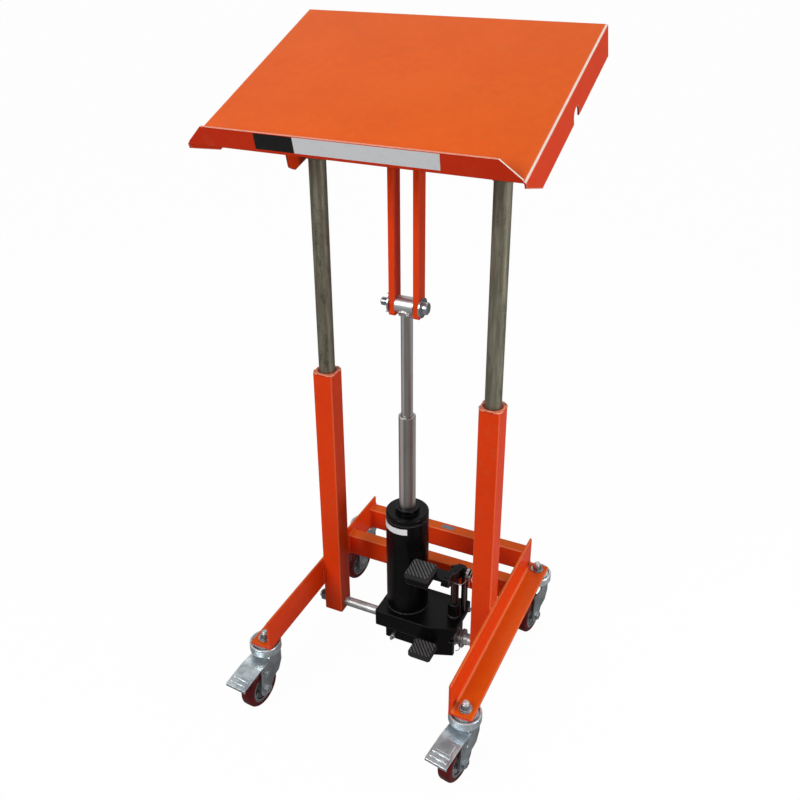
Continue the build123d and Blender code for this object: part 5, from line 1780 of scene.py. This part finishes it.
@dataclass
class WheelDetails:
    """Radial ribs and the tyre's moulding lines of one castor wheel.

    Args:
        palette: All finishes.
        corner: The castor.
        ribs: Number of ribs on each side.
        rib_inner: Radius where a rib starts.
        rib_outer: Radius where it ends.
        rib_half: Half of its width at the start.
        rib_flare: How many times wider it is at its end.
        rib_foot: Distance of its foot from the wheel's middle plane.
        rib_rise: Its height over that foot.
        rib_bevel: Width of its bevel.
        line_level: Distance of a moulding line from the wheel's middle plane.
        line: Outline of a moulding line, inwards from the tread and across.
        line_points: Points round it.
    """

    palette: Palette
    corner: Corner
    ribs: int = 6
    rib_inner: float = 0.0125
    rib_outer: float = 0.0292
    rib_half: float = 0.0014
    rib_flare: float = 1.6
    rib_foot: float = 0.0036
    rib_rise: float = 0.0058
    rib_bevel: float = 0.0004
    line_level: float = 0.0075
    line: Profile = ((0.0006, -0.0006), (0.00002, -0.0002), (0.00002, 0.0002), (0.0006, 0.0006))
    line_points: int = 72

    def wheel_frame(self) -> Matrix:
        """Find the wheel's own frame.

        Returns:
            Z along its axle, origin at its middle.
        """
        axle = Vector(joint_of(f"roll_{self.corner.value}")["axis"])
        turn = axle.to_track_quat("Z", "Y").to_matrix().to_4x4()
        return Matrix.Translation(middle_of(f"wheel_tyre_{self.corner.value}")) @ turn

    def hub_ribs(self) -> None:
        """Radial ribs on both sides of the wheel centre's web."""
        frame = self.wheel_frame()
        builder = MeshBuilder(f"hub_ribs_{self.corner.value}")
        for side in (-1, 1):
            foot = UP * side * self.rib_foot
            lift = frame.to_3x3() @ UP * side * self.rib_rise
            for index in range(self.ribs):
                out = on_circle(1.0, 2 * math.pi * (index + 0.5) / self.ribs)
                across = Vector((-out.y, out.x, 0)) * self.rib_half
                inner, outer = out * self.rib_inner + foot, out * self.rib_outer + foot
                wide = across * self.rib_flare
                outline = [inner - across, inner + across, outer + wide, outer - wide]
                builder.slab([frame @ point for point in outline], lift)
        body = f"wheel_{self.corner.value}"
        builder.finish(self.palette.hub, body, bevel=self.rib_bevel)

    def moulding_lines(self) -> None:
        """Fine raised flash line round each shoulder of the tyre."""
        frame = self.wheel_frame()
        radius = half_of(f"wheel_tyre_{self.corner.value}", 2)
        builder = MeshBuilder(f"tyre_lines_{self.corner.value}")
        for level in (-self.line_level, self.line_level):
            profile = [(radius - deep, level + beside) for deep, beside in self.line]
            builder.tube(lathe(profile, frame, self.line_points), closed=True)
        builder.finish(self.palette.tyre, f"wheel_{self.corner.value}")

    def build(self) -> None:
        """Add every detail."""
        self.hub_ribs()
        self.moulding_lines()


# ---------------------------------------------------------------- studio


@dataclass
class Studio:
    """Camera, lights, floor and white surroundings.

    Args:
        lens: Focal length in millimetres.
        place: Where the camera stands.
        pitch: Its turn up from straight down, in radians.
        yaw: Its turn to the left, in radians.
        shift: Its lens shift.
        lamps: Name, place, aim, size and power of each softbox.
        horizon: Brightness of the sky at the horizon.
        zenith: Brightness of the sky above.
        sky: Colour of the sky.
        ground: Colour of the floor, in metal and under the shadow.
        glow: Brightness of the floor's own white.
        whiteness: Share of that white; the rest keeps the shadow.
        mirrored: How much of the floor's white is seen in mirroring surfaces.
        panels: Height and brightness of the panels that metal mirrors.
        panel_power: Strength of those panels.
    """

    lens: float = 40.79
    place: Point = (0.6753, -1.4487, 1.5701)
    pitch: float = math.radians(63.245)
    yaw: float = math.radians(24.597)
    shift: tuple[float, float] = (-0.0157, -0.0477)
    lamps: tuple[tuple[str, Point, float, float, float], ...] = (
        ("key_softbox", (-1.0, -2.8, 2.4), 0.7, 1.6, 62.0),
        ("top_softbox", (0.3, 0.2, 3.4), 0.6, 1.8, 14.0),
        ("right_fill", (2.8, -0.2, 0.95), 0.45, 1.5, 38.0),
    )
    horizon: float = 0.14
    zenith: float = 0.4
    sky: Colour = (0.96, 0.98, 1.0)
    ground: Colour = (0.3, 0.3, 0.3)
    glow: float = 1.06
    whiteness: float = 0.92
    mirrored: float = 0.05
    panels: Profile = ((0.0, 0.05), (0.22, 0.15), (0.5, 0.9), (0.75, 1.0), (0.9, 0.22))
    panel_power: float = 0.95

    @staticmethod
    def hang(name: str, data: Any, at: Point = (0.0, 0.0, 0.0)) -> bpy.types.Object:
        """Put a new object into the scene.

        Args:
            name: Object name.
            data: Its camera, light or mesh.
            at: Where it goes.

        Returns:
            The object.
        """
        thing = bpy.data.objects.new(name, data)
        thing.location = at
        bpy.context.scene.collection.objects.link(thing)
        return thing

    def camera(self) -> None:
        """Create the camera."""
        data = bpy.data.cameras.new("camera")
        data.lens = self.lens
        data.sensor_width = 36.0
        data.shift_x, data.shift_y = self.shift
        data.clip_start = 0.02
        camera = self.hang("camera", data, self.place)
        camera.rotation_euler = (self.pitch, 0.0, self.yaw)
        bpy.context.scene.camera = camera

    def lamp(self, name: str, at: Point, aim: float, size: float, power: float) -> None:
        """A square softbox.

        Args:
            name: Lamp name.
            at: Where it hangs.
            aim: Height on the mast's axis that it faces.
            size: Side of its square.
            power: Watts.
        """
        data = bpy.data.lights.new(name, "AREA")
        data.energy = power
        data.size = size
        lamp = self.hang(name, data, at)
        lamp.rotation_euler = (Vector(at) - UP * aim).to_track_quat("Z", "Y").to_euler()

    def floor(self, half: float = 30.0) -> None:
        """Pale floor that reads as white and keeps a soft shadow.

        Args:
            half: Half of its side.
        """
        sheet = NodeSheet("studio_floor")
        sheet.shade(Base_Color=self.ground, Roughness=0.8)
        path = sheet.node("ShaderNodeLightPath")
        through = path.out("Is Camera Ray") + path.out("Is Transmission Ray")
        seen = (through + path.out("Is Glossy Ray") * self.mirrored).clamped()
        white = {"Color": (1.0, 1.0, 1.0), "Strength": self.glow}
        glow = sheet.node("ShaderNodeEmission", None, white).out(0)
        mixed = {0: seen * self.whiteness, 1: Signal(sheet, sheet.shader.outputs[0]), 2: glow}
        sheet.surface(sheet.node("ShaderNodeMixShader", None, mixed).out(0))
        mesh = bpy.data.meshes.new("floor")
        corners = [(-half, -half, 0), (half, -half, 0), (half, half, 0), (-half, half, 0)]
        mesh.from_pydata(corners, [], [(0, 1, 2, 3)])
        mesh.materials.append(sheet.material)
        self.hang("floor", mesh)

    def surroundings(self) -> None:
        """White for the camera; for the object a soft sky, and bright panels for its metal."""
        world = bpy.data.worlds.new("studio")
        bpy.context.scene.world = world
        sheet = NodeSheet("studio", world)

        def background(colour: Any, strength: Any) -> Signal:
            """A background of one colour and strength."""
            return sheet.node("ShaderNodeBackground", None, {0: colour, 1: strength}).out(0)

        level = sheet.split(sheet.node("ShaderNodeTexCoord").out("Generated"), Axis.Z)
        rise = {0: level, 1: -0.1, 2: 0.9, 3: self.horizon, 4: self.zenith}
        sky = background(self.sky, sheet.node("ShaderNodeMapRange", None, rise).out(0))
        bands = sheet.ramp(level, [(height, (glow, glow, glow)) for height, glow in self.panels])
        path = sheet.node("ShaderNodeLightPath")
        mirrored = {0: path.out("Is Glossy Ray"), 1: sky, 2: background(bands, self.panel_power)}
        metal = sheet.node("ShaderNodeMixShader", None, mirrored).out(0)
        through = path.out("Is Camera Ray") + path.out("Is Transmission Ray")
        seen = {0: through, 1: metal, 2: background((1.0, 1.0, 1.0), 1.0)}
        sheet.surface(sheet.node("ShaderNodeMixShader", None, seen).out(0))

    def build(self) -> None:
        """Set up the studio."""
        bpy.context.scene.view_settings.view_transform = "Standard"
        self.camera()
        for lamp in self.lamps:
            self.lamp(*lamp)
        self.floor()
        self.surroundings()


# ---------------------------------------------------------------- build order


def main() -> None:
    """Load the frame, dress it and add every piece."""
    logging.basicConfig(level=logging.INFO, format="%(name)s: %(message)s")
    FRAME.update(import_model())
    palette = Palette()
    palette.dress(FRAME["nodes"])
    Studio().build()
    Welds(palette).build()
    Films(palette).build()
    ReturnSpring(palette).build()
    Fasteners(palette).build()
    for corner in Corner:
        WheelDetails(palette, corner).build()
        if corner.braked:
            PedalDetails(palette, corner).build()


if __name__ == "__main__":
    main()
